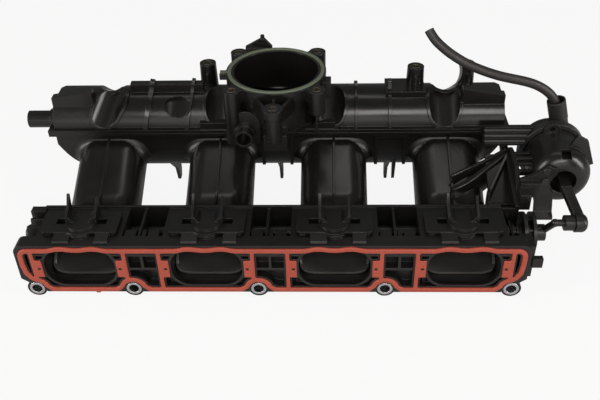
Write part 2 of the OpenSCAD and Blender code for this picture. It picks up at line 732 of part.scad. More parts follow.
module throttle_flange() {
    neck(neck_r, neck_floor, neck_round);
    translate([throttle_x, throttle_y, throttle_z - disc_t]) cylinder(r = disc_r, h = disc_t);
    for (k = [0 : 3]) {
        p = screw_places[k];
        low = k == 2 ? throttle_z - 18 : weld_z + 5;
        translate([p[0], p[1], low]) cylinder(r = screw_boss_r, h = throttle_z - low);
        // lug and web between the boss and the neck
        translate([throttle_x, throttle_y, 0]) rotate(atan2(p[1] - throttle_y, p[0] - throttle_x)) {
            block([throttle_r, -screw_boss_r + 0.8, throttle_z - disc_t - 2], [disc_r + 4, screw_boss_r - 0.8, throttle_z - 0.2]);
            block([throttle_r, -fin_t / 2, low], [disc_r + 4, fin_t / 2, throttle_z - 1]);
        }
    }
    // thin rib under the right front boss
    block([throttle_x + screw_pitch / 2 - rib_t / 2, throttle_y - screw_pitch / 2 - 2, weld_z + 12],
          [throttle_x + screw_pitch / 2 + rib_t / 2, throttle_y - 12, throttle_z - 17]);
    // seat for the seal's tab
    block([throttle_x - disc_r - 4.6, throttle_y - 5.5, throttle_z - 5], [throttle_x - neck_r, throttle_y + 1, throttle_z - 0.3]);
    // fifth boss, its column, its two webs and its middle rib
    translate([throttle_x, fifth_y, neck_floor + 8]) cylinder(r = 5.6, h = fifth_z - neck_floor - 8);
    translate([throttle_x, fifth_y, fifth_z - 6]) cylinder(r = fifth_r, h = 6);
    block([throttle_x - 5, fifth_y, neck_floor + 8], [throttle_x + 5, throttle_y - throttle_r - 3, throttle_z - 22]);
    for (side = [-1, 1])
        translate([throttle_x, 0, fifth_z - 12]) linear_extrude(11.5)
            polygon([[side * 4.6, fifth_y + 2], [side * 6.8, fifth_y + 1], [side * 16, throttle_y - neck_r + 5],
                     [side * 13, throttle_y - neck_r + 5]]);
    translate([throttle_x - rib_t / 2, fifth_y, throttle_z - 24]) cube([rib_t, throttle_y - throttle_r - 2 - fifth_y, 19]);
    // box pillar under the fifth boss
    block([throttle_x - 8, fifth_y + 4, weld_z + 6], [throttle_x + 9, throttle_y - neck_r + 12, neck_floor + 9]);
    // upright pointed lug at the back edge
    block([throttle_x - 26, throttle_y + 24, throttle_z - disc_t - 3], [throttle_x - 5, throttle_y + disc_r + 3.3, throttle_z - 0.5]);
    along_y(throttle_y + disc_r + 0.3, 3) translate([throttle_x, throttle_z])
        polygon([[-26, -3], [-26, 0.6], [-14.5, 7], [-10.5, 7], [-5, 0.8], [-5, -3]]);
    translate([throttle_x - 12.5, throttle_y + disc_r + 2.8, throttle_z - 2]) cylinder(r1 = 2.6, r2 = 1.6, h = 11.6);
    // arch that houses the pipe, under the left front boss
    along_y(pipe_y + pipe_free + 3, 26) {
        translate([pipe_x + 1, pipe_z + 7]) circle(r = 10.6);
        translate([pipe_x - 9.6, weld_z + 5]) square([21.2, pipe_z + 2 - weld_z]);
    }
    // block beside the neck
    block([throttle_x + neck_r - 2, throttle_y - 13, throttle_z - 17], [throttle_x + neck_r + 5, throttle_y - 3, throttle_z - 4]);
}

pad_top = weld_z + plenum_r + 2;
// Foot, lean in degrees and height above the pads of each upright fin, and its thickness
fins = [[-102.5, 11, 7.6, 3.6], [-69.8, 10, 8, 2.6], [61.3, 0, 4, 2.2], [87, 0, 6, 2.6]];
// Low pads and upright fins on the crown
module crown_pads() {
    block([-114, plenum_y - 5.5, weld_z + 16], [-57, plenum_y + 1.5, pad_top + 4.2]);
    block([84, plenum_y - 12, weld_z + 16], [114, plenum_y + 10, pad_top]);
    for (side = [-1, 1])
        along_y(plenum_y - 16.5, 7)
            polygon([[side * (plenum_half - 0.2), weld_z + 14], [side * (plenum_half - 0.2), end_top + 5],
                     [side * 142, end_top + 10.4], [side * 138.6, weld_z + 14]]);
    for (fin = fins)
        translate([fin[0], 0, weld_z]) rotate([0, fin[1], 0]) along_x(-fin[3] / 2, fin[3]) {
            intersection() {
                translate([plenum_y, 0]) circle(plenum_r + 2.2);
                translate([plenum_y - 40, 1]) square([80, 40]);
            }
            translate([plenum_y - 2, pad_top - weld_z + fin[2] - 2.4]) circle(r = 2.6);
            polygon([[plenum_y - 8, 18], [plenum_y - 8, 25], [plenum_y - 4.5, pad_top - weld_z + fin[2] - 2.4],
                     [plenum_y + 0.5, pad_top - weld_z + fin[2] - 2.4], [plenum_y + 3, 18]]);
        }
}

module upper_shell() color("#29292b") {
    difference() {
        union() {
            difference() {
                union() {
                    crown();
                    crown_pads();
                    // rolled rims of the grooves
                    for (g = grooves) intersection() {
                        along_x(g[0] - g[1] - 8, 2 * g[1] + 16) translate([plenum_y, weld_z]) circle(plenum_r + 1.4);
                        groove_rod(g, 1.8);
                        block([-plenum_half, plenum_y - 40, weld_z + 1], [plenum_half, plenum_y + 40, weld_z + 50]);
                    }
                }
                for (g = grooves) groove_rod(g, 0);
                scoop_rod(0);
            }
            translate([0, 0, weld_z]) linear_extrude(weld_t) weld_outline(weld_rim);
            throttle_flange();
            for (p = post_places) {
                translate([p[0], p[1], weld_z + 1]) cylinder(r1 = post_r + 1.6, r2 = post_r + 0.5, h = post_top - weld_z - 1);
                block([p[0] - rib_t / 2, p[1] - post_r - 3, weld_z + 6], [p[0] + rib_t / 2, p[1], post_top - 6]);
            }
            // ledges left and right of the throttle's neck
            for (x = [[-59, -35], [16, 45]])
                block([x[0], belly_front - 3, weld_z + 1], [x[1], belly_front + 5, weld_z + 8.3]);
            // hose stub at the left end and pipe beside the throttle
            rod_x(-plenum_half - 23, stub_y, stub_z, stub_r, 24);
            rod_x(-plenum_half - 5, stub_y, stub_z, stub_r + 1.6, 6.7);
            rod_y(pipe_x, pipe_y, pipe_z, pipe_r, 24);
            rod_y(pipe_x, pipe_y + pipe_free, pipe_z, pipe_r + 1.3, 6);
        }
        difference() {
            crown(wall);
            for (g = grooves) groove_rod(g, groove_wall);
            scoop_rod(groove_wall);
        }
        neck(throttle_r, bore_low - 5, 5);
        translate([throttle_x, throttle_y, bore_low]) cylinder(r = throttle_r, h = throttle_z - bore_low + 1);
        rod_x(-plenum_half - 24, stub_y, stub_z, stub_r - 2, 40);
        rod_y(pipe_x, pipe_y - 1, pipe_z, pipe_bore, 30);
        // groove of the throttle seal
        translate([throttle_x, throttle_y, throttle_z - 2.2]) difference() {
            cylinder(r = seal_r + seal_w / 2 + slip, h = 3);
            translate([0, 0, -1]) cylinder(r = seal_r - seal_w / 2 - slip, h = 5);
        }
        block([throttle_x - disc_r - 6, throttle_y - 4 - slip, throttle_z - 1], [throttle_x - seal_r, throttle_y - 0.5 + slip, throttle_z + 1]);
        for (p = screw_places) translate([p[0], p[1], throttle_z - insert_len]) cylinder(r = insert_r + 0.05, h = insert_len + 1);
        translate([throttle_x, fifth_y, fifth_z - insert_len]) cylinder(r = insert_r + 0.05, h = insert_len + 1);
        for (p = post_places) translate([p[0], p[1], post_top - insert_len]) cylinder(r = insert_r + 0.05, h = insert_len + 1);
    }
}

// ---------- seals, sleeves and inserts ----------

module ring_z(r, bore, len) {
    difference() {
        cylinder(r = r, h = len);
        translate([0, 0, -1]) cylinder(r = bore, h = len + 2);
    }
}

module throttle_seal() color("#5c6b52") {
    translate([throttle_x, throttle_y, throttle_z - 2.1]) ring_z(seal_r + seal_w / 2, seal_r - seal_w / 2, 3.1);
    block([throttle_x - disc_r - 4.3, throttle_y - 4, throttle_z - 0.95],
          [throttle_x - seal_r - 0.4, throttle_y - 0.5, throttle_z - 0.05]);
}

module bolt_sleeves() color("silver") {
    for (x = bolt_xs) tube_y(x, -0.4, bolt_z, sleeve_r, bolt_hole_r, sleeve_len + 0.8);
}

module insert(x, y, top) {
    translate([x, y, top - insert_len]) ring_z(insert_r, insert_hole_r, insert_len + 0.2);
}

module post_inserts() color("silver") {
    for (p = post_places) insert(p[0], p[1], post_top);
}

module throttle_inserts() color("silver") {
    for (p = screw_places) insert(p[0], p[1], throttle_z);
    insert(throttle_x, fifth_y, fifth_z);
}

// ---------- flaps and their shaft ----------

module flap_frame(i) color("#1f1f21") {
    middle = (frame_top + frame_bottom) / 2;
    high = frame_top - frame_bottom;
    difference() {
        translate([port_x(i), 0, middle]) along_y(lip_t + seat, housing_depth - lip_t - 2 * seat) difference() {
            round_rect(2 * frame_half, high, 3);
            round_rect(2 * inner_half, high - 2 * frame_wall, 1.5);
        }
        rod_x(port_x(i) - frame_half - 1, shaft_y, shaft_z, bush_r + 0.05, 2 * frame_half + 2);
    }
}

pan_back = shaft_y + 2;
module flap(i) color("#161617") {
    difference() {
        union() {
            // pan with rounded front corners
            translate([port_x(i), 0, pan_z]) linear_extrude(flap_t) {
                translate([-flap_half, pan_front + 4]) square([2 * flap_half, pan_back - pan_front - 4]);
                translate([-flap_half + 4, pan_front]) square([2 * flap_half - 8, 5]);
                for (side = [-1, 1]) translate([side * (flap_half - 4), pan_front + 4]) circle(r = 4);
            }
            for (side = [-1, 1])
                along_x(port_x(i) + side * (flap_half - flap_t / 2) - flap_t / 2, flap_t) {
                    polygon([[pan_front + 4, pan_z + 0.2], [pan_back, pan_z + 0.2], [shaft_y + hub_r - 0.4, shaft_z],
                             [shaft_y - hub_r + 0.4, shaft_z + 1], [pan_front + 6, pan_z + 6]]);
                    translate([shaft_y, shaft_z]) circle(hub_r);
                }
            for (side = [-1, 1])
                rod_x(port_x(i) + side * (flap_half - 4) - 4, shaft_y, shaft_z, hub_r, 8);
            // raised back edge of the pan
            along_x(port_x(i) - flap_half, 2 * flap_half)
                polygon([[pan_back - 5, pan_z + 0.5], [pan_back, pan_z + 0.5], [pan_back, pan_z + 3.6], [pan_back - 1.6, pan_z + 3.6]]);
        }
        rod_x(port_x(i) - flap_half - 1, shaft_y, shaft_z, shaft_r + 0.05, 2 * flap_half + 2);
    }
}

shaft_left = -row_half + 5;
shaft_right = crank_x + 2.5;
module flap_shaft() color("silver") {
    rod_x(shaft_left, shaft_y, shaft_z, shaft_r, shaft_right - shaft_left);
}

bush_in = inner_half - 0.2;
bush_len = frame_wall + tunnel_wall;
module shaft_bushes() color("#d8d2c0") {
    for (i = ports, side = [-1, 1])
        translate([port_x(i) + side * (bush_in + bush_len / 2) - bush_len / 2, shaft_y, shaft_z]) rotate([0, 90, 0])
            ring_z(bush_r, shaft_r + run_clear, bush_len);
}

module shaft_seal() color("#2f6b4a") {
    translate([row_half - 2.7, shaft_y, shaft_z]) rotate([0, 90, 0]) ring_z(shaft_r + 1.8, shaft_r + run_clear, 3.3);
}

cap_start = row_half + 3.3;
module bearing_cap() color("#1c1c1e") {
    difference() {
        union() {
            rod_x(cap_start, shaft_y, shaft_z, 7, 6);
            rod_x(cap_start + 3.6, shaft_y, shaft_z, cap_disc_r, 2.4);
            for (turn = [0 : 45 : 315])
                translate([cap_start, shaft_y, shaft_z]) rotate([turn, 0, 0]) block([0, 0, -0.8], [4, 12, 0.8]);
        }
        rod_x(cap_start - 1, shaft_y, shaft_z, shaft_r + run_clear, 12);
    }
}

module end_plug() color("#232325") {
    translate([-row_half - 4, shaft_y, shaft_z]) rotate([0, 90, 0]) rotate_extrude()
        polygon([[0, 0], [3.5, 0], [5.6, 1.2], [6.5, 3], [6.5, 5], [0, 5]]);
}

// ---------- crank, rod and actuator ----------

module crank_arm() color("#303033") {
    difference() {
        union() {
            rod_x(crank_x - 4, shaft_y, shaft_z, 6, 7);
            bar([crank_x, shaft_y, shaft_z], [crank_x + 7, pin_y, pin_z], crank_bar_r);
            translate([crank_x + 7, pin_y, pin_z]) sphere(r = crank_bar_r + 0.4);
            rod_x(crank_x + 7, pin_y, pin_z, crank_bar_r, collar_x - crank_x - 7);
        }
        rod_x(crank_x - 5, shaft_y, shaft_z, shaft_r + 0.05, shaft_right - crank_x + 5.05);
    }
}

module pin_collar() color("#3a3a3d") {
    rod_x(collar_x, pin_y, pin_z, collar_r, collar_len);
    rod_x(collar_x + collar_len - 0.5, pin_y, pin_z, ball_r * 0.7, 4);
    translate([collar_x + collar_len + 3.6, pin_y, pin_z]) sphere(r = ball_r);
}

rod_start = [cap_x + 4.6, pin_y + 3, pin_z];
rod_knee = [pot_x, pot_y - 8, pot_z];
module flat_bar(p, q, w, t) {
    d = q - p;
    translate(p) rotate([0, acos(d[2] / norm(d)), atan2(d[1], d[0])])
        linear_extrude(norm(d)) round_rect(t, w, 1);
}

module actuator_rod() color("#202022") {
    difference() {
        union() {
            translate([cap_x, pin_y, pin_z]) rotate([0, 90, 0]) rotate_extrude()
                polygon(concat([[0, 0], [cap_r, 0], [cap_r, 4.6]], arc([cap_r - 4, 4.6], 4, 0, 90, 6), [[0, 8.6]]));
            flat_bar(rod_start, rod_knee + [0, 1, 0.28], rod_w, rod_t);
            translate([pot_x - rod_w / 2, rod_knee[1] - 0.5, pot_z - rod_t / 2]) cube([rod_w, plate_y - rod_knee[1] + 0.5, rod_t]);
        }
        rod_x(cap_x - 1, pin_y, pin_z, cap_r - 2.1, 7.4);
    }
}

module diaphragm_plate() color("silver") {
    translate([pot_x, plate_y, pot_z]) rotate([-90, 0, 0]) rotate_extrude()
        polygon([[0, 0], [plate_r, 0], [plate_r, 4], [plate_r - 1.4, 4], [plate_r - 1.4, 1.6], [0, 1.6]]);
}

module diaphragm() color("#3b2f2a") {
    // rolls from the plate's edge to the clamped rim
    outer = rim_r - 2.5;
    inside = pot_r - pot_wall - seat;
    translate([pot_x, 0, pot_z]) rotate([-90, 0, 0]) rotate_extrude()
        polygon([[plate_r + seat, plate_y + 0.5], [plate_r + seat, plate_y + 3.5], [inside, rim_y + 1],
                 [outer, rim_y + 1], [outer, rim_y + seat], [inside, rim_y + seat], [plate_r + 1.2, plate_y + 0.5]]);
}

spring_r = 11;
spring_wire = 1.2;
spring_turns = 5;
spring_steps = 12;
spring_y0 = plate_y + 1.6 + spring_wire;
spring_y1 = cover_back - pot_wall - spring_wire;
function spoke(k) = [cos(360 * k / spring_steps), 0, sin(360 * k / spring_steps)];
module return_spring() color("silver") {
    steps = spring_turns * spring_steps;
    ring = 6;
    points = [for (k = [0 : steps], j = [0 : ring - 1])
        let (centre = spring_r * spoke(k) + [0, spring_y0 + (spring_y1 - spring_y0) * k / steps, 0])
        centre + spring_wire * 0.9 * (cos(360 * j / ring) * spoke(k) + sin(360 * j / ring) * [0, 1, 0])];
    sides = [for (k = [0 : steps - 1], j = [0 : ring - 1])
        let (a = k * ring + j, b = k * ring + (j + 1) % ring)
        each [[a, b + ring, b], [a, a + ring, b + ring]]];
    translate([pot_x, 0, pot_z]) polyhedron(points,
        concat([[for (j = [0 : ring - 1]) j]], sides, [[for (j = [ring - 1 : -1 : 0]) steps * ring + j]]));
}

dome = pot_r - rod_hole_r - 1.2;  // rounding of the body's front
module actuator_body() color("#1d1d1f") {
    difference() {
        union() {
            translate([pot_x, 0, pot_z]) rotate([-90, 0, 0]) rotate_extrude()
                polygon(concat([[rod_hole_r, pot_y]], arc([pot_r - dome, pot_y + dome], dome, -90, 0, 8),
                               [[pot_r, rim_y - 1.6], [rim_r - 1.6, rim_y - 1.6], [rim_r - 1.6, rim_y], [pot_r - pot_wall, rim_y]],
                               arc([pot_r - dome, pot_y + dome], dome - pot_wall, 0, -90, 8), [[rod_hole_r, pot_y + pot_wall]]));
            // ear plates beside the dome and in front of the rim
            difference() {
                along_y(pot_y + 14, 3) polygon([[pot_x + 4, pot_z + pot_r - 2], [pot_x + 9, pot_z + pot_r + 8.5],
                    [pot_x + 17, pot_z + pot_r + 4], [pot_x + pot_r + 2.5, pot_z + 6], [pot_x + pot_r - 3, pot_z + 4]]);
                rod_y(pot_x, pot_y, pot_z, pot_r - pot_wall / 2, 30);
            }
            difference() {
                along_y(rim_y - 7, 2.6) translate([pot_x - 4, pot_z + pot_r + 1]) circle(r = 6);
                rod_y(pot_x, pot_y, pot_z, pot_r - pot_wall / 2, pot_len);
                rod_y(pot_x - 4, rim_y - 8, pot_z + pot_r + 2.4, 1.9, 6);
            }
        }
        // square window in the dome's upper front
        block([pot_x - 3, pot_y + 3, pot_z + rod_hole_r + 3], [pot_x + 3.8, pot_y + 10, pot_z + pot_r + 3]);
    }
}

module actuator_cover() color("#252527") {
    difference() {
        union() {
            translate([pot_x, 0, pot_z]) rotate([-90, 0, 0]) rotate_extrude()
                polygon(concat([[rim_r - 1.6, rim_y + 1.2], [rim_r - 1.6, rim_y + rim_t], [pot_r - 1, rim_y + rim_t]],
                               arc([pot_r - 6, cover_back - 5], 5, 0, 90, 6), [[0, cover_back], [0, rim_y + 1.2]]));
            bar(nipple_foot - 4 * nipple_dir, nipple_foot + sleeve_foot * nipple_dir, boot_r - 0.4);
            bar(nipple_foot, nipple_foot + 12 * nipple_dir, hose_bore / 2 - 0.2);
        }
        translate([pot_x, 0, pot_z]) rotate([-90, 0, 0]) rotate_extrude()
            polygon([[0, rim_y], [pot_r - 3.4, rim_y], [pot_r - 3.4, cover_back - 5], [pot_r - 7, cover_back - pot_wall],
                     [0, cover_back - pot_wall]]);
        bar(nipple_foot - 6 * nipple_dir, nipple_foot + 13 * nipple_dir, 0.8);
    }
}

module crimp_ring() color("#4a4a4d") {
    translate([pot_x, 0, pot_z]) rotate([-90, 0, 0]) rotate_extrude()
        polygon([[pot_r + seat, rim_y - 3], [rim_r, rim_y - 3], [rim_r, rim_y + rim_t + 1.2], [pot_r - 0.4, rim_y + rim_t + 1.2],
                 [pot_r - 0.4, rim_y + rim_t + 0.1], [rim_r - 1.4, rim_y + rim_t + 0.1], [rim_r - 1.4, rim_y - 1.8],
                 [pot_r + seat, rim_y - 1.8]]);
}

// ---------- bracket and covers ----------

plate_x = gusset_x + gusset_t;
clip_x = pot_x - 15.5;
screw_zs = [pot_z + 3, pot_z + 12];
plate_back = rim_y - 6;   // back end of the bracket's side plate
module actuator_bracket() color("#1e1e20") {
    difference() {
        union() {
            along_x(plate_x, 3) polygon([[56, 4], [56, 20], [60, 26], [72, pot_z + 8], [plate_back - 6, pot_z + 9], [plate_back, pot_z + 8], [plate_back, pot_z - 3],
                                         [plate_back - 14, pot_z - 21]]);
            // stepped bars from the side plate to the body
            for (step = [[8, 0, 4], [12, 5.4, 2.2], [16, 4.6, 5], [24, 6, 2.6]])
                block([plate_x + 2, pot_y + step[0], pot_z + step[1]], [pot_x - 12, pot_y + step[0] + 3, pot_z + step[1] + step[2]]);
            // box boss and bar out to the front plate
            block([plate_x, 46, pot_z - 11.5], [plate_x + 8, 58, pot_z + 1]);
            block([plate_x + 2, 56, pot_z - 8], [clip_x - 2, pot_y, pot_z + 4]);
            along_y(pot_y - 3 - seat, 3) difference() {
                polygon([[plate_x + 2, pot_z - 8], [clip_x - 4, pot_z - 10], [clip_x - 4, pot_z - 15], [clip_x + 9, pot_z - 15],
                         [clip_x + 9, pot_z + 13], [clip_x + 2, pot_z + 16], [clip_x - 6, pot_z + 9], [plate_x + 2, pot_z + 4]]);
                translate([pot_x, pot_z]) circle(r = rod_hole_r + 1);
            }
            // slanted foot plate with its clip
            along_x(clip_x - 4, 13)
                polygon([[pot_y - 3, pot_z - 9], [pot_y - seat, pot_z - 9], [pot_y - 5, pot_z - 22], [pot_y - 12, pot_z - 25.4],
                         [pot_y - 12, pot_z - 22.8], [pot_y - 8, pot_z - 21]]);
        }
        translate([pot_x, 0, pot_z]) rotate([-90, 0, 0]) rotate_extrude()
            polygon(concat([[0, pot_y - seat]], arc([pot_r - dome, pot_y + dome], dome + seat, -90, 0, 8), [[pot_r + seat, 130], [0, 130]]));
        for (z = screw_zs) rod_y(clip_x + 1, pot_y - 7, z, 1.65, 10);
    }
}

module bracket_screws() color("dimgray") {
    for (z = screw_zs) {
        rod_y(clip_x + 1, pot_y - 3 - seat - 1.6, z, 2.6, 1.6);
        rod_y(clip_x + 1, pot_y - 3.2 - seat, z, 1.6, 3.1);
    }
}

cover_x0 = plenum_half - 17;
cover_x1 = pot_x - 11;
cover_reach = 15;         // how far the cover stands in front of the weld flanges
cover_y = belly_front - weld_rim - cover_reach;
cover_z = weld_z - 3;
ridge_dy = 2.8;
ridge_dz = 3;
module ribbed_cover() color("#202022") {
    ridges = [for (k = [0 : 3]) each [[cover_y + ridge_dy * k, cover_z + ridge_dz * k],
        [cover_y + ridge_dy * k, cover_z + ridge_dz * k + 1.8], [cover_y + ridge_dy * (k + 1) - 1, cover_z + ridge_dz * k + 1.8]]];
    back_y = cover_y + ridge_dy * 4;
    back_z = cover_z + ridge_dz * 4;
    back = [[back_y - 1, back_z - 1.2], [back_y + 1, back_z - 1.2], [back_y + 1, back_z - 3], [cover_y + ridge_dy, cover_z - 0.4]];
    difference() {
        union() {
            along_x(cover_x0, cover_x1 - cover_x0) polygon(concat(ridges, back));
            for (x = [cover_x0, cover_x0 + 13, cover_x0 + 26])
                along_x(x, 2) polygon([[cover_y + 0.4, cover_z + 0.2], [back_y, back_z - 1.6],
                                       [back_y + 1, cover_z + 2], [cover_y + 8, cover_z - 2], [cover_y + 0.4, cover_z - 2]]);
            // arms to the weld flange
            for (x = [cover_x0 + 1, plenum_half - 11])
                block([x, cover_y + ridge_dy * 3, weld_z - 2.4], [x + 8, belly_front - weld_rim, weld_z + 0.2]);
        }
        rod_y(pot_x, cover_y - 5, pot_z, rim_r + seat, 40);
    }
}

module hose_sleeve() color("#1b1b1c") {
    from = nipple_foot + sleeve_foot * nipple_dir;
    difference() {
        bar(from, from + sleeve_height * nipple_dir, boot_r);
        bar(from - nipple_dir, from + (sleeve_height + 1) * nipple_dir, boot_bore);
    }
}

// ---------- vacuum hose ----------

hose_sides = 12;
function unit(v) = v / norm(v);
function heading(k) = unit(hose_route[min(k + 1, len(hose_route) - 1)] - hose_route[max(k - 1, 0)]);
function hose_ring(k, r) = let (side = unit(cross(heading(k), [0, 1, 0])), up = cross(side, heading(k)))
    [for (j = [0 : hose_sides - 1]) hose_route[k] + r * (cos(360 * j / hose_sides) * side + sin(360 * j / hose_sides) * up)];

module vacuum_hose() color("#3a3230") {
    n = len(hose_route);
    walls = concat([for (k = [0 : n - 1]) each hose_ring(k, hose_d / 2)],
                   [for (k = [0 : n - 1]) each hose_ring(k, hose_bore / 2)]);
    inner = n * hose_sides;
    faces = [for (k = [0 : n - 2], j = [0 : hose_sides - 1])
        let (a = k * hose_sides + j, b = k * hose_sides + (j + 1) % hose_sides)
        each [[a, b, b + hose_sides, a + hose_sides], [inner + a, inner + a + hose_sides, inner + b + hose_sides, inner + b]]];
    ends = [for (j = [0 : hose_sides - 1]) let (a = j, b = (j + 1) % hose_sides, last = (n - 1) * hose_sides)
        each [[a, inner + a, inner + b, b], [last + a, last + b, last + inner + b, last + inner + a]]];
    polyhedron(walls, concat(faces, ends));
}

head_flange();
upper_shell();
lower_shell();
runner(0);  // runner_1
runner(1);  // runner_2
runner(2);  // runner_3
runner(3);  // runner_4
port_gasket();
throttle_seal();
bolt_sleeves();
post_inserts();
throttle_inserts();
flap_frame(0);  // flap_frame_1
flap_frame(1);  // flap_frame_2
flap_frame(2);  // flap_frame_3
flap_frame(3);  // flap_frame_4
flap(0);  // flap_1
flap(1);  // flap_2
flap(2);  // flap_3
flap(3);  // flap_4
flap_shaft();
shaft_bushes();
shaft_seal();
bearing_cap();
end_plug();
crank_arm();
pin_collar();
actuator_rod();
diaphragm_plate();
diaphragm();
return_spring();
actuator_body();
actuator_cover();
crimp_ring();
actuator_bracket();
bracket_screws();
ribbed_cover();
hose_sleeve();
vacuum_hose();
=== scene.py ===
import bpy
import bmesh
import json
import math
from mathutils import Euler, Matrix, Vector


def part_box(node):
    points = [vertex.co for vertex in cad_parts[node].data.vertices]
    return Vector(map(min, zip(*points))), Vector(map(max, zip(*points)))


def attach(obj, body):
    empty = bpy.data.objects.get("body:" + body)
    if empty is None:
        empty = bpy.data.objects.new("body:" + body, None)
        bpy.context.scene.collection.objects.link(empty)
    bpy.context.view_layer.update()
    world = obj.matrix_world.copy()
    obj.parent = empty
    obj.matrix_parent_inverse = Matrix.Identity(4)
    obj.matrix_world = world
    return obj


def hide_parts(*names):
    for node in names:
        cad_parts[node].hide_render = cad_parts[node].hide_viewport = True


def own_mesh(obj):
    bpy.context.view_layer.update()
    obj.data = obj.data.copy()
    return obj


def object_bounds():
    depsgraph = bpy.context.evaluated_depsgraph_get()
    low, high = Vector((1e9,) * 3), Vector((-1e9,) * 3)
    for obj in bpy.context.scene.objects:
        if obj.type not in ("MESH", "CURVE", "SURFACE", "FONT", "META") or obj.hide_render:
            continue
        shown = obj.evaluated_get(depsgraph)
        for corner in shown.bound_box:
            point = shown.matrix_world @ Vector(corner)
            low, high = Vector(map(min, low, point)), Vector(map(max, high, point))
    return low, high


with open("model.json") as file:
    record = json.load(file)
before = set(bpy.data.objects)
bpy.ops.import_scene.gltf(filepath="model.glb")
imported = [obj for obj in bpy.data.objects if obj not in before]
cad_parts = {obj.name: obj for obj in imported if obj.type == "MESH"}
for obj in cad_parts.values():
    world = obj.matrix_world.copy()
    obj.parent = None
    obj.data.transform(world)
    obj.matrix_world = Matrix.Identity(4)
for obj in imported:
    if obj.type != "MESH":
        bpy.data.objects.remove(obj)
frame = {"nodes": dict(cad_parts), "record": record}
nodes = frame["nodes"]
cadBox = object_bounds()
scene = bpy.context.scene
print("frame: loaded", len(nodes), "nodes")


def mm(*values):
    # millimetres to metres, one number or a tuple of them
    sizes = tuple(value / 1000 for value in values)
    return sizes if len(sizes) > 1 else sizes[0]


# where the camera stands, and how it looks
viewpoint = {
    "place": mm(40.6, -399, 358),
    "tiltDown": 36.8,  # degrees below the horizon
    "turn": 2.7,  # degrees to the left
    "roll": -1.75,  # degrees about the line of sight
    "lens": 46.8,
    "nearest": mm(10),
}


def makeCamera(look):
    camera = bpy.data.objects.new("camera", bpy.data.cameras.new("camera"))
    scene.collection.objects.link(camera)
    camera.data.lens = look["lens"]
    camera.data.clip_start = look["nearest"]
    turn = Matrix.Rotation(math.radians(look["turn"]), 4, "Z")
    tilt = Matrix.Rotation(math.radians(90 - look["tiltDown"]), 4, "X")
    roll = Matrix.Rotation(math.radians(look["roll"]), 4, "Z")
    camera.matrix_world = Matrix.Translation(look["place"]) @ turn @ tilt @ roll
    scene.camera = camera


makeCamera(viewpoint)
print("camera: placed")

# rubber hose from the actuator's boot to its cut end
vacuumHose = {
    "route": [
        (213, 115.5, 53), (211.5, 115.5, 57.5), (209.7, 115.5, 62), (207, 115.5, 66.7),
        (203, 115.5, 71.2), (197, 115.5, 75.6), (190, 115.5, 79), (182.5, 115.5, 81.3),
        (174.5, 115.5, 83.2), (166, 115.5, 85.3), (158, 116, 87.7), (150.5, 117, 90.2),
        (143, 118, 93.2), (136, 120, 96.5), (129, 123, 100.2), (123.5, 126, 103.7),
        (118.5, 129, 107.7), (115, 132, 111.8), (113.5, 133.5, 114.2),
    ],
    "diameter": mm(7),
    "bore": mm(3.4),
    "sides": 28,
    "stepsPerStretch": 5,
    "lip": mm(0.35),  # rounding of the cut end
    "lipShoulder": 0.3,  # share of the lip at the middle of its rounding
}


def smoothLine(points, steps):
    # a smooth curve through all the points
    line = []
    for k in range(len(points) - 1):
        before = points[max(k - 1, 0)]
        start, end = points[k], points[k + 1]
        after = points[min(k + 2, len(points) - 1)]
        for j in range(steps):
            t = j / steps
            line.append(
                0.5 * (2 * start + (end - before) * t + (2 * before - 5 * start + 4 * end - after) * t * t
                       + (3 * start - before - 3 * end + after) * t ** 3)
            )
    line.append(points[-1])
    return line


def newPiece(name, mesh, material=None, smooth=True):
    piece = bpy.data.objects.new(name, mesh)
    scene.collection.objects.link(piece)
    if material:
        mesh.materials.append(material)
    if smooth:
        mesh.polygons.foreach_set("use_smooth", [True] * len(mesh.polygons))
    return piece


def plainMesh(bm, name):
    mesh = bpy.data.meshes.new(name)
    bm.to_mesh(mesh)
    bm.free()
    return mesh


def outwardMesh(bm, name):
    bmesh.ops.recalc_face_normals(bm, faces=bm.faces)
    return plainMesh(bm, name)


def sweepTube(name, line, profile, sides):
    # profile: radius, point on the line and shift along it for each ring, outside first, then back inside
    bm = bmesh.new()
    uv = bm.loops.layers.uv.new("along")
    count = len(line)
    headings = [(line[min(k + 1, count - 1)] - line[max(k - 1, 0)]).normalized() for k in range(count)]
    side = headings[0].cross(Vector((0, 1, 0))).normalized()
    frames = []
    for heading in headings:
        side = (side - heading * side.dot(heading)).normalized()
        frames.append((side.copy(), heading.cross(side)))
    lengths = [0]
    for start, end in zip(line, line[1:]):
        lengths.append(lengths[-1] + (end - start).length)
    rings = []
    for radius, k, shift in profile:
        across, up = frames[k]
        centre = line[k] + headings[k] * shift
        rings.append([
            bm.verts.new(centre + radius * (math.cos(2 * math.pi * j / sides) * across
                                            + math.sin(2 * math.pi * j / sides) * up))
            for j in range(sides)
        ])
    for n, (low, high) in enumerate(zip(rings, rings[1:] + rings[:1])):
        for j in range(sides):
            face = bm.faces.new((low[j], low[(j + 1) % sides], high[(j + 1) % sides], high[j]))
            along = [lengths[profile[n][1]], lengths[profile[(n + 1) % len(profile)][1]]]
            for loop, (u, v) in zip(face.loops, ((j, 0), (j + 1, 0), (j + 1, 1), (j, 1))):
                loop[uv].uv = (u / sides, along[v])
    return outwardMesh(bm, name)


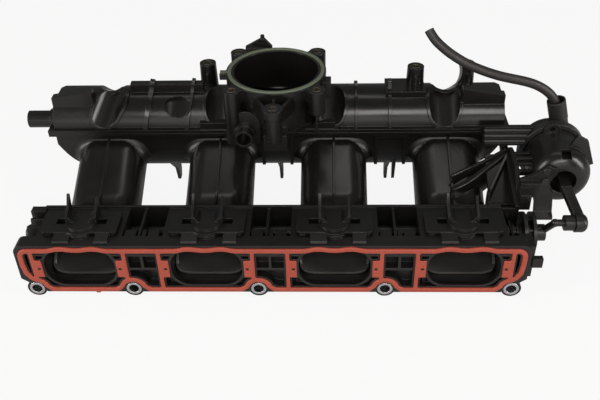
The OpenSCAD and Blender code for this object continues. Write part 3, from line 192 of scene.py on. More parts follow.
def makeHose(size):
    points = [Vector(mm(*point)) for point in size["route"]]
    line = smoothLine(points, size["stepsPerStretch"])
    last = len(line) - 1
    outer, inner, lip = size["diameter"] / 2, size["bore"] / 2, size["lip"]
    shoulder = size["lipShoulder"] * lip
    profile = [(inner + lip, 0, 0), (outer - lip, 0, 0), (outer, 0, lip)]
    profile += [(outer, k, 0) for k in range(1, last)]
    profile += [(outer, last, -lip), (outer - shoulder, last, -shoulder), (outer - lip, last, 0)]
    profile += [(inner + lip, last, 0), (inner + shoulder, last, -shoulder), (inner, last, -lip)]
    profile += [(inner, k, 0) for k in range(last - 1, 0, -1)]
    profile += [(inner, 0, lip)]
    hose = newPiece("vacuumHose", sweepTube("vacuumHose", line, profile, size["sides"]))
    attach(hose, "housing")
    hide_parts("vacuum_hose")
    return hose


hose = makeHose(vacuumHose)
print("hose: made")


def addNode(tree, kind, place, **settings):
    node = tree.nodes.new(kind)
    node.location = place
    for name, value in settings.items():
        setattr(node, name, value)
    return node


def newGroup(name, inputs, outputs, groupKind="ShaderNodeTree"):
    # a node group with named sockets, and its input and output nodes
    group = bpy.data.node_groups.new(name, groupKind)
    for label, kind, value in inputs:
        socket = group.interface.new_socket(name=label, in_out="INPUT", socket_type=kind)
        if value is not None:
            socket.default_value = value
    for label, kind in outputs:
        group.interface.new_socket(name=label, in_out="OUTPUT", socket_type=kind)
    return group, addNode(group, "NodeGroupInput", (-900, 0)), addNode(group, "NodeGroupOutput", (900, 0))


def mouldGrain():
    # fine spark-eroded grain with broad flow marks from the mould
    group, given, out = newGroup(
        "mouldGrain",
        [("Vector", "NodeSocketVector", None), ("Grain Scale", "NodeSocketFloat", 900.0),
         ("Flow Scale", "NodeSocketFloat", 22.0), ("Flow Share", "NodeSocketFloat", 0.35)],
        [("Height", "NodeSocketFloat"), ("Flow", "NodeSocketFloat")],
    )
    grain = addNode(group, "ShaderNodeTexNoise", (-600, 200))
    grain.inputs["Detail"].default_value = 3
    grain.inputs["Roughness"].default_value = 0.65
    flow = addNode(group, "ShaderNodeTexNoise", (-600, -120))
    flow.inputs["Detail"].default_value = 4
    flow.inputs["Distortion"].default_value = 0.8
    blend = addNode(group, "ShaderNodeMix", (-200, 120), data_type="FLOAT")
    link = group.links.new
    link(given.outputs["Vector"], grain.inputs["Vector"])
    link(given.outputs["Vector"], flow.inputs["Vector"])
    link(given.outputs["Grain Scale"], grain.inputs["Scale"])
    link(given.outputs["Flow Scale"], flow.inputs["Scale"])
    link(given.outputs["Flow Share"], blend.inputs["Factor"])
    link(grain.outputs["Fac"], blend.inputs["A"])
    link(flow.outputs["Fac"], blend.inputs["B"])
    link(blend.outputs["Result"], out.inputs["Height"])
    link(flow.outputs["Fac"], out.inputs["Flow"])
    return group


def edgeWear():
    # rubbed edges: where a rounded normal leaves the true one
    group, given, out = newGroup(
        "edgeWear",
        [("Width", "NodeSocketFloat", 0.0006), ("Amount", "NodeSocketFloat", 1.0),
         ("Breakup", "NodeSocketFloat", 0.5)],
        [("Mask", "NodeSocketFloat"), ("Normal", "NodeSocketVector")],
    )
    rounded = addNode(group, "ShaderNodeBevel", (-650, 100), samples=6)
    surface = addNode(group, "ShaderNodeNewGeometry", (-650, -150))
    dot = addNode(group, "ShaderNodeVectorMath", (-420, 0), operation="DOT_PRODUCT")
    rise = addNode(group, "ShaderNodeMapRange", (-200, 0))
    rise.inputs["From Min"].default_value = 1.0  # the two normals agree
    rise.inputs["From Max"].default_value = 0.8  # the edge is rubbed all the way
    broken = addNode(group, "ShaderNodeMath", (40, -40), operation="MULTIPLY")
    scaled = addNode(group, "ShaderNodeMath", (260, -40), operation="MULTIPLY", use_clamp=True)
    link = group.links.new
    link(given.outputs["Width"], rounded.inputs["Radius"])
    link(rounded.outputs["Normal"], dot.inputs[0])
    link(surface.outputs["Normal"], dot.inputs[1])
    link(dot.outputs["Value"], rise.inputs["Value"])
    link(rise.outputs["Result"], broken.inputs[0])
    link(given.outputs["Breakup"], broken.inputs[1])
    link(broken.outputs["Value"], scaled.inputs[0])
    link(given.outputs["Amount"], scaled.inputs[1])
    link(scaled.outputs["Value"], out.inputs["Mask"])
    link(rounded.outputs["Normal"], out.inputs["Normal"])
    return group


def settledDust():
    # a pale film on surfaces that look up
    group, given, out = newGroup(
        "settledDust",
        [("Vector", "NodeSocketVector", None), ("Scale", "NodeSocketFloat", 60.0),
         ("Amount", "NodeSocketFloat", 0.2)],
        [("Mask", "NodeSocketFloat")],
    )
    patches = addNode(group, "ShaderNodeTexNoise", (-600, 150))
    patches.inputs["Detail"].default_value = 6
    patches.inputs["Roughness"].default_value = 0.7
    surface = addNode(group, "ShaderNodeNewGeometry", (-600, -150))
    parts = addNode(group, "ShaderNodeSeparateXYZ", (-400, -150))
    up = addNode(group, "ShaderNodeMapRange", (-200, -150))
    up.inputs["From Min"].default_value = 0.1  # steeper faces stay clean
    up.inputs["From Max"].default_value = 1.0
    spots = addNode(group, "ShaderNodeMapRange", (-200, 150))
    spots.inputs["From Min"].default_value = 0.42  # bare below this, so the dust lies in patches
    spots.inputs["From Max"].default_value = 0.75
    both = addNode(group, "ShaderNodeMath", (60, 0), operation="MULTIPLY")
    scaled = addNode(group, "ShaderNodeMath", (280, 0), operation="MULTIPLY", use_clamp=True)
    link = group.links.new
    link(given.outputs["Vector"], patches.inputs["Vector"])
    link(given.outputs["Scale"], patches.inputs["Scale"])
    link(surface.outputs["Normal"], parts.inputs["Vector"])
    link(parts.outputs["Z"], up.inputs["Value"])
    link(patches.outputs["Fac"], spots.inputs["Value"])
    link(up.outputs["Result"], both.inputs[0])
    link(spots.outputs["Result"], both.inputs[1])
    link(both.outputs["Value"], scaled.inputs[0])
    link(given.outputs["Amount"], scaled.inputs[1])
    link(scaled.outputs["Value"], out.inputs["Mask"])
    return group


grainGroup = mouldGrain()
wearGroup = edgeWear()
dustGroup = settledDust()


def mixColour(tree, place, factor, first, second):
    blend = addNode(tree, "ShaderNodeMix", place, data_type="RGBA")
    tree.links.new(factor, blend.inputs["Factor"])
    for colour, socket in ((first, blend.inputs["A"]), (second, blend.inputs["B"])):
        if isinstance(colour, tuple):
            socket.default_value = (*colour, 1)
        else:
            tree.links.new(colour, socket)
    return blend.outputs["Result"]


# what a finish has where it says nothing else
plainFinish = {
    "flowScale": 22,
    "edgeAmount": 0.5,
    "dustColour": (0.16, 0.15, 0.14),
    "depth": mm(0.06),  # of the grain
    "metal": 0,
}


def surfaceMaterial(name, finish):
    # one shader for moulded, rubber and metal surfaces: grain, flow marks, rubbed edges, dust
    look = {**plainFinish, **finish}
    material = bpy.data.materials.new(name)
    material.use_nodes = True
    tree = material.node_tree
    shader = tree.nodes["Principled BSDF"]
    link = tree.links.new
    where = addNode(tree, "ShaderNodeTexCoord", (-1300, 0))
    grain = addNode(tree, "ShaderNodeGroup", (-1050, 250), node_tree=grainGroup)
    grain.inputs["Grain Scale"].default_value = look["grainScale"]
    grain.inputs["Flow Scale"].default_value = look["flowScale"]
    link(where.outputs["Object"], grain.inputs["Vector"])
    wear = addNode(tree, "ShaderNodeGroup", (-1050, 0), node_tree=wearGroup)
    wear.inputs["Amount"].default_value = look["edgeAmount"]
    link(grain.outputs["Flow"], wear.inputs["Breakup"])
    dust = addNode(tree, "ShaderNodeGroup", (-1050, -250), node_tree=dustGroup)
    dust.inputs["Amount"].default_value = look["dust"]
    link(where.outputs["Object"], dust.inputs["Vector"])
    tone = mixColour(tree, (-700, 250), grain.outputs["Flow"], look["colour"], look["colour2"])
    edged = mixColour(tree, (-500, 150), wear.outputs["Mask"], tone, look["edgeColour"])
    dusty = mixColour(tree, (-300, 50), dust.outputs["Mask"], edged, look["dustColour"])
    link(dusty, shader.inputs["Base Color"])
    gloss = addNode(tree, "ShaderNodeMapRange", (-700, -100))
    gloss.inputs["From Min"].default_value = 0.3  # flow marks seldom leave 0.3 to 0.7
    gloss.inputs["From Max"].default_value = 0.7
    gloss.inputs["To Min"].default_value, gloss.inputs["To Max"].default_value = look["rough"]
    link(grain.outputs["Flow"], gloss.inputs["Value"])
    link(gloss.outputs["Result"], shader.inputs["Roughness"])
    bump = addNode(tree, "ShaderNodeBump", (-300, -300))
    bump.inputs["Strength"].default_value = 0.3
    bump.inputs["Distance"].default_value = look["depth"]
    link(grain.outputs["Height"], bump.inputs["Height"])
    link(wear.outputs["Normal"], bump.inputs["Normal"])
    link(bump.outputs["Normal"], shader.inputs["Normal"])
    shader.inputs["Metallic"].default_value = look["metal"]
    return material


# colour and colour2 are the two tones of the flow marks, rough is the range of the gloss,
# and the scales are Blender's, so a larger one is finer
finishes = {
    "housingPlastic": {
        "colour": (0.0045, 0.0043, 0.0041), "colour2": (0.008, 0.0075, 0.0071),
        "edgeColour": (0.03, 0.028, 0.026), "rough": (0.3, 0.42), "grainScale": 1100, "edgeAmount": 0.5,
        "dust": 0.02,
    },
    "shellPlastic": {
        "colour": (0.005, 0.0047, 0.0045), "colour2": (0.0095, 0.0087, 0.0082),
        "edgeColour": (0.028, 0.026, 0.024), "rough": (0.18, 0.32), "grainScale": 1300, "flowScale": 16,
        "edgeAmount": 0.45, "dust": 0.02,
    },
    "framePlastic": {
        "colour": (0.01, 0.0098, 0.0094), "colour2": (0.016, 0.0155, 0.015),
        "edgeColour": (0.04, 0.038, 0.036), "rough": (0.36, 0.5), "grainScale": 1300, "dust": 0.03,
    },
    # the flaps' colour, many times lighter than the other black plastics, is painted light: it shows the
    # flaps as lit inside the dark ports
    "flapPlastic": {
        "colour": (0.05, 0.047, 0.043), "colour2": (0.07, 0.066, 0.062),
        "edgeColour": (0.06, 0.057, 0.054), "rough": (0.26, 0.4), "grainScale": 1300, "dust": 0.04,
    },
    "actuatorPlastic": {
        "colour": (0.0065, 0.0062, 0.006), "colour2": (0.0115, 0.0108, 0.0102),
        "edgeColour": (0.034, 0.031, 0.029), "rough": (0.2, 0.34), "grainScale": 1500, "flowScale": 30,
        "dust": 0.025,
    },
    "gasketRubber": {
        "colour": (0.35, 0.056, 0.03), "colour2": (0.43, 0.076, 0.042),
        "edgeColour": (0.52, 0.12, 0.077), "rough": (0.36, 0.5), "grainScale": 900, "flowScale": 40,
        "edgeAmount": 0.2, "dust": 0.02, "dustColour": (0.22, 0.07, 0.05),
    },
    "sealRubber": {
        "colour": (0.105, 0.135, 0.085), "colour2": (0.15, 0.175, 0.12),
        "edgeColour": (0.22, 0.25, 0.19), "rough": (0.4, 0.55), "grainScale": 1200, "dust": 0.08,
    },
    "sleeveRubber": {
        "colour": (0.009, 0.009, 0.0088), "colour2": (0.014, 0.0135, 0.013),
        "edgeColour": (0.035, 0.034, 0.033), "rough": (0.42, 0.55), "grainScale": 1500, "dust": 0.05,
    },
    "hoseRubber": {
        "colour": (0.019, 0.0165, 0.0155), "colour2": (0.028, 0.0245, 0.023),
        "edgeColour": (0.05, 0.045, 0.042), "rough": (0.38, 0.5), "grainScale": 1500, "flowScale": 60,
        "dust": 0.08,
    },
    "diaphragmRubber": {
        "colour": (0.02, 0.015, 0.014), "colour2": (0.03, 0.022, 0.02),
        "edgeColour": (0.06, 0.05, 0.05), "rough": (0.5, 0.6), "grainScale": 2000, "dust": 0.05,
    },
    "bushPlastic": {
        "colour": (0.5, 0.45, 0.36), "colour2": (0.6, 0.55, 0.45), "edgeColour": (0.7, 0.66, 0.58),
        "rough": (0.35, 0.45), "grainScale": 1500, "dust": 0.05,
    },
    "brightSteel": {
        "colour": (0.52, 0.53, 0.55), "colour2": (0.66, 0.67, 0.68), "edgeColour": (0.85, 0.86, 0.87),
        "rough": (0.2, 0.36), "grainScale": 2600, "flowScale": 90, "dust": 0.04, "depth": mm(0.02),
        "metal": 1,
    },
    "dullBrass": {
        "colour": (0.1, 0.088, 0.068), "colour2": (0.15, 0.13, 0.1), "edgeColour": (0.32, 0.29, 0.24),
        "rough": (0.34, 0.5), "grainScale": 2600, "flowScale": 90, "dust": 0.1, "depth": mm(0.02),
        "metal": 1,
    },
    "darkSteel": {
        "colour": (0.05, 0.05, 0.052), "colour2": (0.09, 0.088, 0.088), "edgeColour": (0.3, 0.3, 0.3),
        "rough": (0.3, 0.45), "grainScale": 2600, "dust": 0.1, "depth": mm(0.02), "metal": 0.8,
    },
}
materials = {name: surfaceMaterial(name, finish) for name, finish in finishes.items()}
print("materials:", len(materials), "made")

runners = [f"runner_{k}" for k in range(1, 5)]
nodeFinish = {
    "housingPlastic": ["head_flange", "bearing_cap", "end_plug", "ribbed_cover"],
    "shellPlastic": ["upper_shell", "lower_shell", *runners],
    "framePlastic": [f"flap_frame_{k}" for k in range(1, 5)],
    "flapPlastic": [f"flap_{k}" for k in range(1, 5)],
    "actuatorPlastic": ["actuator_body", "actuator_cover", "actuator_bracket", "actuator_rod",
                        "crank_arm", "pin_collar"],
    "gasketRubber": ["port_gasket"],
    "sealRubber": ["throttle_seal", "shaft_seal"],
    "sleeveRubber": ["hose_sleeve"],
    "hoseRubber": ["vacuum_hose"],
    "diaphragmRubber": ["diaphragm"],
    "bushPlastic": ["shaft_bushes"],
    "brightSteel": ["bolt_sleeves", "diaphragm_plate", "return_spring"],
    "dullBrass": ["post_inserts", "throttle_inserts"],
    "darkSteel": ["crimp_ring", "flap_shaft", "bracket_screws"],
}
finishOf = {name: finish for finish, names in nodeFinish.items() for name in names}
for name, finish in finishOf.items():
    nodes[name].data.materials.clear()
    nodes[name].data.materials.append(materials[finish])
hose.data.materials.append(materials["hoseRubber"])
print("finishes: given to", len(finishOf), "nodes")

# CAD nodes get smooth-shaded or rounded copies, which stand for them
smoothing = {
    "weld": mm(0.002),  # loose corners closer than this are one
    "flat": math.radians(0.3),  # faces that differ less are merged
    "crease": math.radians(32),  # sharper edges stay crisp
}


def camelName(name):
    first, *rest = name.split("_")
    return first + "".join(word.capitalize() for word in rest)


def mergedCopy(name):
    # a CAD node's loose triangles, joined
    bm = bmesh.new()
    bm.from_mesh(nodes[name].data)
    bmesh.ops.remove_doubles(bm, verts=bm.verts, dist=smoothing["weld"])
    return bm


def evenedCopy(name):
    # and its flat faces made whole
    bm = mergedCopy(name)
    bmesh.ops.dissolve_limit(bm, angle_limit=smoothing["flat"], verts=bm.verts, edges=bm.edges)
    return bm


def evaluated(piece):
    # the mesh that the piece's modifiers give
    return bpy.data.meshes.new_from_object(piece.evaluated_get(bpy.context.evaluated_depsgraph_get()))


def trimmed(piece, cuts):
    # the piece's mesh after its cuts, each an operation with another object
    for operation, other in cuts:
        trim = piece.modifiers.new("trim", "BOOLEAN")
        trim.operation = operation
        trim.object = other
    mesh = evaluated(piece)
    piece.modifiers.clear()
    return mesh


def finishedPiece(piece, name, body):
    # the modifiers' result becomes the mesh, and the piece stands for its node
    solid = evaluated(piece)
    piece.modifiers.clear()
    piece.data = solid
    solid.materials.clear()
    solid.materials.append(materials[finishOf[name]])
    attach(piece, body)
    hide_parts(name)
    return piece


def markCreases(mesh):
    bm = bmesh.new()
    bm.from_mesh(mesh)
    for face in bm.faces:
        face.smooth = True
    for edge in bm.edges:
        edge.smooth = len(edge.link_faces) == 2 and edge.calc_face_angle(0) < smoothing["crease"]
    bm.to_mesh(mesh)
    bm.free()


def evenShading(piece):
    # curved walls shade smoothly, and the marked creases stay crisp
    even = piece.modifiers.new("even", "WEIGHTED_NORMAL")
    even.keep_sharp = True


def smoothCopy(name, cutters=()):
    piece = newPiece(camelName(name), plainMesh(evenedCopy(name), camelName(name)))
    if cutters:
        piece.data = trimmed(piece, [("DIFFERENCE", cutter) for cutter in cutters])
    markCreases(piece.data)
    evenShading(piece)
    return finishedPiece(piece, name, "housing")


def roundedPan(name, look):
    # the flap's lower corners, pulled up into one curved trough
    low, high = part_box(name)
    middle, half = (low[0] + high[0]) / 2, (high[0] - low[0]) / 2
    bm = evenedCopy(name)
    flat = half - look["corner"]
    for side in (-1, 1):
        for step in range(look["cuts"]):
            x = middle + side * (flat + look["corner"] * math.sin(math.pi / 2 * step / look["cuts"]))
            everything = bm.verts[:] + bm.edges[:] + bm.faces[:]
            bmesh.ops.bisect_plane(bm, geom=everything, plane_co=(x, 0, 0), plane_no=(1, 0, 0))
    for vert in bm.verts:
        out = min(max(abs(vert.co.x - middle) - flat, 0) / look["corner"], 1)
        share = min(max((look["hub"] - vert.co.z) / (look["hub"] - low[2]), 0), 1)
        vert.co.z += look["lift"] * (1 - math.sqrt(1 - out * out)) * share
    piece = newPiece(camelName(name), plainMesh(bm, camelName(name)))
    markCreases(piece.data)
    evenShading(piece)
    finishedPiece(piece, name, "flap_train")


def rubberCopy(name, look):
    # a fine voxel skin, relaxed, gives moulded rubber its rounded bead
    piece = newPiece(camelName(name), plainMesh(mergedCopy(name), camelName(name)))
    skin = piece.modifiers.new("skin", "REMESH")
    skin.mode = "VOXEL"
    skin.voxel_size = look["voxel"]
    relax = piece.modifiers.new("relax", "SMOOTH")
    relax.factor = 0.5
    relax.iterations = look["rounds"]
    thin = piece.modifiers.new("thin", "DECIMATE")
    thin.ratio = look["keep"]
    finishedPiece(piece, name, "housing")
    piece.data.polygons.foreach_set("use_smooth", [True] * len(piece.data.polygons))


smoothNodes = ["head_flange", "lower_shell", *runners, "actuator_body", "actuator_cover",
               "actuator_bracket", "ribbed_cover", "bearing_cap"]
for name in smoothNodes:
    smoothCopy(name)
print("smooth copies: made")

# dips in the crown's back, where the outer grooves run out
crown = {
    "middle": mm(140, 40),  # of its round, along Y and Z
    "radius": mm(23.95),
    "sides": 144,
    "barLength": mm(50),  # of the round that a dip or the scoop is trimmed to
    "lean": math.radians(29),  # from the middle to each dip, backwards from upright
    "dipRadius": mm(13.2),
    "dipLength": mm(100),
    "wall": mm(2.6),  # of each dip's lining
    "dips": [mm(-130.8, 19.3), mm(130.3, 18.4)],  # sideways place, distance from the crown's middle
}


def skinRings(bm, rings, ends=True):
    # faces from each ring of points to the next, then over both ends, or else back to the first ring
    count = len(rings[0])
    for first, second in zip(rings, rings[1:] + ([] if ends else rings[:1])):
        for k in range(count):
            bm.faces.new((first[k], first[(k + 1) % count], second[(k + 1) % count], second[k]))
    if ends:
        bm.faces.new(rings[0][::-1])
        bm.faces.new(rings[-1])


def roundBar(name, radius, length, matrix, bore=0, sides=72):
    # a solid rod, or a pipe if it has a bore, along its own Z
    bm = bmesh.new()
    turns = [2 * math.pi * k / sides for k in range(sides)]
    rings = []
    for r, z in ((radius, -length / 2), (radius, length / 2), (bore, length / 2), (bore, -length / 2)):
        if r:
            rings.append([bm.verts.new((r * math.cos(turn), r * math.sin(turn), z)) for turn in turns])
    skinRings(bm, rings, ends=not bore)
    bmesh.ops.transform(bm, matrix=matrix, verts=bm.verts)
    return newPiece(name, outwardMesh(bm, name))


def crownBar(x):
    # the crown's round as a solid rod, centred on one place along the row
    across = Matrix.Translation((x, *crown["middle"])) @ Matrix.Rotation(math.pi / 2, 4, "Y")
    return roundBar("crownBar", crown["radius"], crown["barLength"], across, sides=crown["sides"])


def makeDips(look):
    # each dip is cut out of the shell, and a piece of pipe lines it
    y, z = look["middle"]
    lean, radius, length = look["lean"], look["dipRadius"], look["dipLength"]
    scratch, cutters, halves = [], [], []
    for x, depth in look["dips"]:
        far = depth + radius
        place = Matrix.Translation((x, y + far * math.sin(lean), z + far * math.cos(lean)))
        along = place @ Matrix.Rotation(-math.pi / 2 - lean, 4, "X")
        cutters.append(roundBar("cutter", radius, length, along))
        trough = roundBar("trough", radius + look["wall"], length, along, bore=radius)
        body = crownBar(x)
        halves.append(trimmed(trough, [("INTERSECT", body)]))
        scratch += [trough, body]
    smoothCopy("upper_shell", cutters=cutters)
    bm = bmesh.new()
    for mesh in halves:
        bm.from_mesh(mesh)
    lining = newPiece("crownDips", outwardMesh(bm, "crownDips"), materials["shellPlastic"])
    markCreases(lining.data)
    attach(lining, "housing")
    for piece in scratch + cutters:
        bpy.data.objects.remove(piece)


makeDips(crown)
print("crown: dips made")

# one curved floor for the round pocket between the crown's ribs
scoop = {
    "place": mm(-76.5, 118.7),  # middle of the pocket, along X and Y
    "heights": mm(48.4, 64),
    "radius": mm(12.8),
    "lean": math.radians(57),  # of the floor's lowest line, backwards from upright
    "foot": mm(118.1, 49.9),  # where that line leaves the crown, along Y and Z
    "rodRadius": mm(18),
    "rodLength": mm(120),
    "rodSides": 96,
}


def makeScoop(look):
    # a plug in the pocket, trimmed to the crown's round and hollowed by a leaning rod
    x, y = look["place"]
    low, high = look["heights"]
    lean = look["lean"]
    upright = Matrix.Translation((x, y, (low + high) / 2))
    plug = roundBar("scoopFloor", look["radius"], high - low, upright)
    body = crownBar(x)
    lift = Vector((0, -math.cos(lean), math.sin(lean))) * look["rodRadius"]
    along = Matrix.Translation(Vector((x, *look["foot"])) + lift) @ Matrix.Rotation(-lean, 4, "X")
    rod = roundBar("scoopRod", look["rodRadius"], look["rodLength"], along, sides=look["rodSides"])
    plug.data = trimmed(plug, [("INTERSECT", body), ("DIFFERENCE", rod)])
    for other in (body, rod):
        bpy.data.objects.remove(other)
    plug.data.materials.clear()
    plug.data.materials.append(materials["shellPlastic"])
    markCreases(plug.data)
    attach(plug, "housing")


makeScoop(scoop)
print("crown: scoop floor made")

# flap pans, seen through the ports
flapPan = {
    "corner": mm(12),  # width of each rounded corner
    "lift": mm(7.5),  # of its outer edge
    "hub": mm(-2),  # height above which nothing moves
    "cuts": 7,
}
for k in range(1, 5):
    roundedPan(f"flap_{k}", flapPan)
print("flap pans: rounded")

# the return spring, as a smooth copy with a mesh of its own
spring = smoothCopy("return_spring")
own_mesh(spring)
print("return spring: made")

rubber = {
    # size of the skin's cells, rounds of smoothing, share of the faces kept
    "port_gasket": {"voxel": mm(0.42), "rounds": 9, "keep": 0.3},
    "throttle_seal": {"voxel": mm(0.3), "rounds": 8, "keep": 0.3},
    "hose_sleeve": {"voxel": mm(0.3), "rounds": 6, "keep": 0.4},
}
for name, look in rubber.items():
    rubberCopy(name, look)
print("rubber: rounded")

# flared roots of the runners, under the plenum's rim
flare = {
    "halfWidth": mm(25.5),  # of the runner's section
    "halfHeight": mm(18.5),
    "corner": mm(15),
    "skirt": 0.35,  # how far the flare goes down each side, in quarter turns
    "start": mm(79.94, -4.37),  # where the runner's straight stretch begins, along Y and Z
    "rise": math.radians(24),
    "bellyFront": mm(116),  # of the plenum, which the runners go into
    "bellyMiddle": mm(140, 22),
    "bellyRadius": mm(24),
    "least": mm(1.4),  # the flare's radius over the runner's top
    "sideways": mm(6.4),  # what the radius gains towards the sides
    "fade": 1.5,  # how late it gains it
    "embed": mm(0.7),  # depth of the hidden edge in both walls
    "sunk": mm(0.07),  # start of the curve below the runner's skin
    "overlap": mm(0.21),  # end of the curve past the plenum's skin
    "search": mm(90, 0.2),  # longest way to the plenum, and the step
    "steps": 7,
}


def roundedOutline(halfWidth, halfHeight, corner, skirt, steps=9):
    # points and outward directions round the upper part of a rounded rectangle, from right to left
    outline = []
    for side, low, high in ((1, -skirt, 1), (-1, 1, -skirt)):
        for k in range(steps + 1):
            share = low + (high - low) * k / steps
            if share > 0:
                turn = math.pi / 2 * share
                out = Vector((side * math.cos(turn), math.sin(turn)))
                height = halfHeight - corner
            else:
                # down the straight flank, below the corner
                out = Vector((side, 0))
                height = (halfHeight - corner) * (1 + 2 * share)
            middle = Vector((side * (halfWidth - corner), height))
            outline.append((middle + corner * out, out))
    return outline


def makeFlares(look):
    axis = Vector((0, math.cos(look["rise"]), math.sin(look["rise"])))
    up = Vector((0, -math.sin(look["rise"]), math.cos(look["rise"])))
    right = Vector((1, 0, 0))
    outline = roundedOutline(look["halfWidth"], look["halfHeight"], look["corner"], look["skirt"])
    middleY, middleZ = look["bellyMiddle"]
    farthest, step = look["search"]
    embed = look["embed"]

    def inBelly(point):
        if point.y < look["bellyFront"]:
            return False
        return point.z > middleZ or math.hypot(point.y - middleY, point.z - middleZ) < look["bellyRadius"]

    def reach(point):
        # how far the plenum is along the runner
        far = 0.0
        while far < farthest and not inBelly(point + far * axis):
            far += step
        return far

    bm = bmesh.new()
    for name in runners:
        low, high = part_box(name)
        start = Vector(((low[0] + high[0]) / 2, *look["start"]))
        rows = []
        for flat, out in outline:
            outward = out.x * right + out.y * up
            skin = start + flat.x * right + flat.y * up
            radius = look["least"] + look["sideways"] * abs(out.x) ** look["fade"]
            row = []
            for k in range(look["steps"] + 1):
                turn = math.pi / 2 * k / look["steps"]
                off = skin + outward * (radius * (1 - math.cos(turn)) - look["sunk"])
                back = radius * (1 - math.sin(turn)) - look["overlap"] * k / look["steps"]
                row.append(off + axis * (reach(off) - back))
            inner = skin - outward * embed
            row.append(inner + axis * (reach(inner) + embed))
            rows.append([bm.verts.new(point) for point in row])
        skinRings(bm, rows)
    piece = newPiece("runnerFlares", outwardMesh(bm, "runnerFlares"), materials["housingPlastic"])
    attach(piece, "housing")


makeFlares(flare)
print("runners: flared")

# two leaning webs between the last runner and the gusset
gussetWebs = {
    "upper": {
        "topEdge": [(131, 77.5, 24), (137, 81.5, 24.5), (143, 85, 25), (150, 88, 26.4),
                    (157, 90.5, 28.6), (173, 96.5, 35)],
        "height": mm(12),
        "wall": mm(2.4),
    },
    "lower": {
        "topEdge": [(130.5, 67, 19.3), (136, 70.4, 19.8), (142.2, 74.4, 20.4), (149, 79.5, 22.2),
                    (157, 85, 25.3), (173, 95, 33)],
        "height": mm(20),
        "wall": mm(4.2),
    },
}
webEdge = {"width": mm(0.6), "segments": 3}  # rounding of every edge


def makeWebs(webs):
    bm = bmesh.new()
    for web in webs.values():
        points = [Vector(mm(*point)) for point in web["topEdge"]]
        drop = Vector((0, 0, -web["height"]))
        rings = []
        for k, point in enumerate(points):
            heading = points[min(k + 1, len(points) - 1)] - points[max(k - 1, 0)]
            across = Vector((heading.y, -heading.x, 0)).normalized() * web["wall"] / 2
            corners = (across, -across, drop - across, drop + across)
            rings.append([bm.verts.new(point + corner) for corner in corners])
        skinRings(bm, rings)
    piece = newPiece("gussetWebs", outwardMesh(bm, "gussetWebs"), materials["shellPlastic"])
    soften = piece.modifiers.new("soften", "BEVEL")
    soften.width = webEdge["width"]
    soften.segments = webEdge["segments"]
    soften.limit_method = "ANGLE"
    piece.data = evaluated(piece)
    piece.modifiers.clear()
    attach(piece, "housing")


makeWebs(gussetWebs)
print("gusset: webs made")


def newTree(name, inputs):
    # Geometry Nodes, which take points and give a shape on each
    shape = ("Geometry", "NodeSocketGeometry")
    return newGroup(name, [(*shape, None), *inputs], [shape], "GeometryNodeTree")


def instanceTail(tree, given, out, shape):
    # instances on the points, realised, smooth and with their material
    link = tree.links.new
    spread = addNode(tree, "GeometryNodeInstanceOnPoints", (100, 0))
    real = addNode(tree, "GeometryNodeRealizeInstances", (300, 0))
    smooth = addNode(tree, "GeometryNodeSetShadeSmooth", (500, 0))
    coat = addNode(tree, "GeometryNodeSetMaterial", (700, 0))
    link(given.outputs["Geometry"], spread.inputs["Points"])
    link(shape, spread.inputs["Instance"])
    link(given.outputs["Rotation"], spread.inputs["Rotation"])
    link(spread.outputs["Instances"], real.inputs["Geometry"])
    link(real.outputs["Geometry"], smooth.inputs["Geometry"])
    link(smooth.outputs["Geometry"], coat.inputs["Geometry"])
    link(given.outputs["Material"], coat.inputs["Material"])
    link(coat.outputs["Geometry"], out.inputs["Geometry"])


def threadTree():
    tree, given, out = newTree("threads", [
        ("Radius", "NodeSocketFloat", 0.0024), ("Wire", "NodeSocketFloat", 0.00022),
        ("Turns", "NodeSocketFloat", 9.0), ("Length", "NodeSocketFloat", 0.009),
        ("Rotation", "NodeSocketRotation", None), ("Material", "NodeSocketMaterial", None)])
    link = tree.links.new
    spiral = addNode(tree, "GeometryNodeCurveSpiral", (-550, 150))
    spiral.inputs["Resolution"].default_value = 20  # points for each turn
    wire = addNode(tree, "GeometryNodeCurvePrimitiveCircle", (-550, -150))
    wire.inputs["Resolution"].default_value = 5  # sides of the wire
    sweep = addNode(tree, "GeometryNodeCurveToMesh", (-200, 50))
    link(given.outputs["Radius"], spiral.inputs["Start Radius"])
    link(given.outputs["Radius"], spiral.inputs["End Radius"])
    link(given.outputs["Turns"], spiral.inputs["Rotations"])
    link(given.outputs["Length"], spiral.inputs["Height"])
    link(given.outputs["Wire"], wire.inputs["Radius"])
    link(spiral.outputs["Curve"], sweep.inputs["Curve"])
    link(wire.outputs["Curve"], sweep.inputs["Profile Curve"])
    instanceTail(tree, given, out, sweep.outputs["Mesh"])
    return tree


def rimTree():
    tree, given, out = newTree("rims", [
        ("Radius", "NodeSocketFloat", 0.005), ("Wire", "NodeSocketFloat", 0.0003),
        ("Rotation", "NodeSocketRotation", None), ("Material", "NodeSocketMaterial", None)])
    link = tree.links.new
    ring = addNode(tree, "GeometryNodeCurvePrimitiveCircle", (-550, 150))
    ring.inputs["Resolution"].default_value = 48
    wire = addNode(tree, "GeometryNodeCurvePrimitiveCircle", (-550, -150))
    wire.inputs["Resolution"].default_value = 10
    sweep = addNode(tree, "GeometryNodeCurveToMesh", (-200, 50))
    link(given.outputs["Radius"], ring.inputs["Radius"])
    link(given.outputs["Wire"], wire.inputs["Radius"])
    link(ring.outputs["Curve"], sweep.inputs["Curve"])
    link(wire.outputs["Curve"], sweep.inputs["Profile Curve"])
    instanceTail(tree, given, out, sweep.outputs["Mesh"])
    return tree


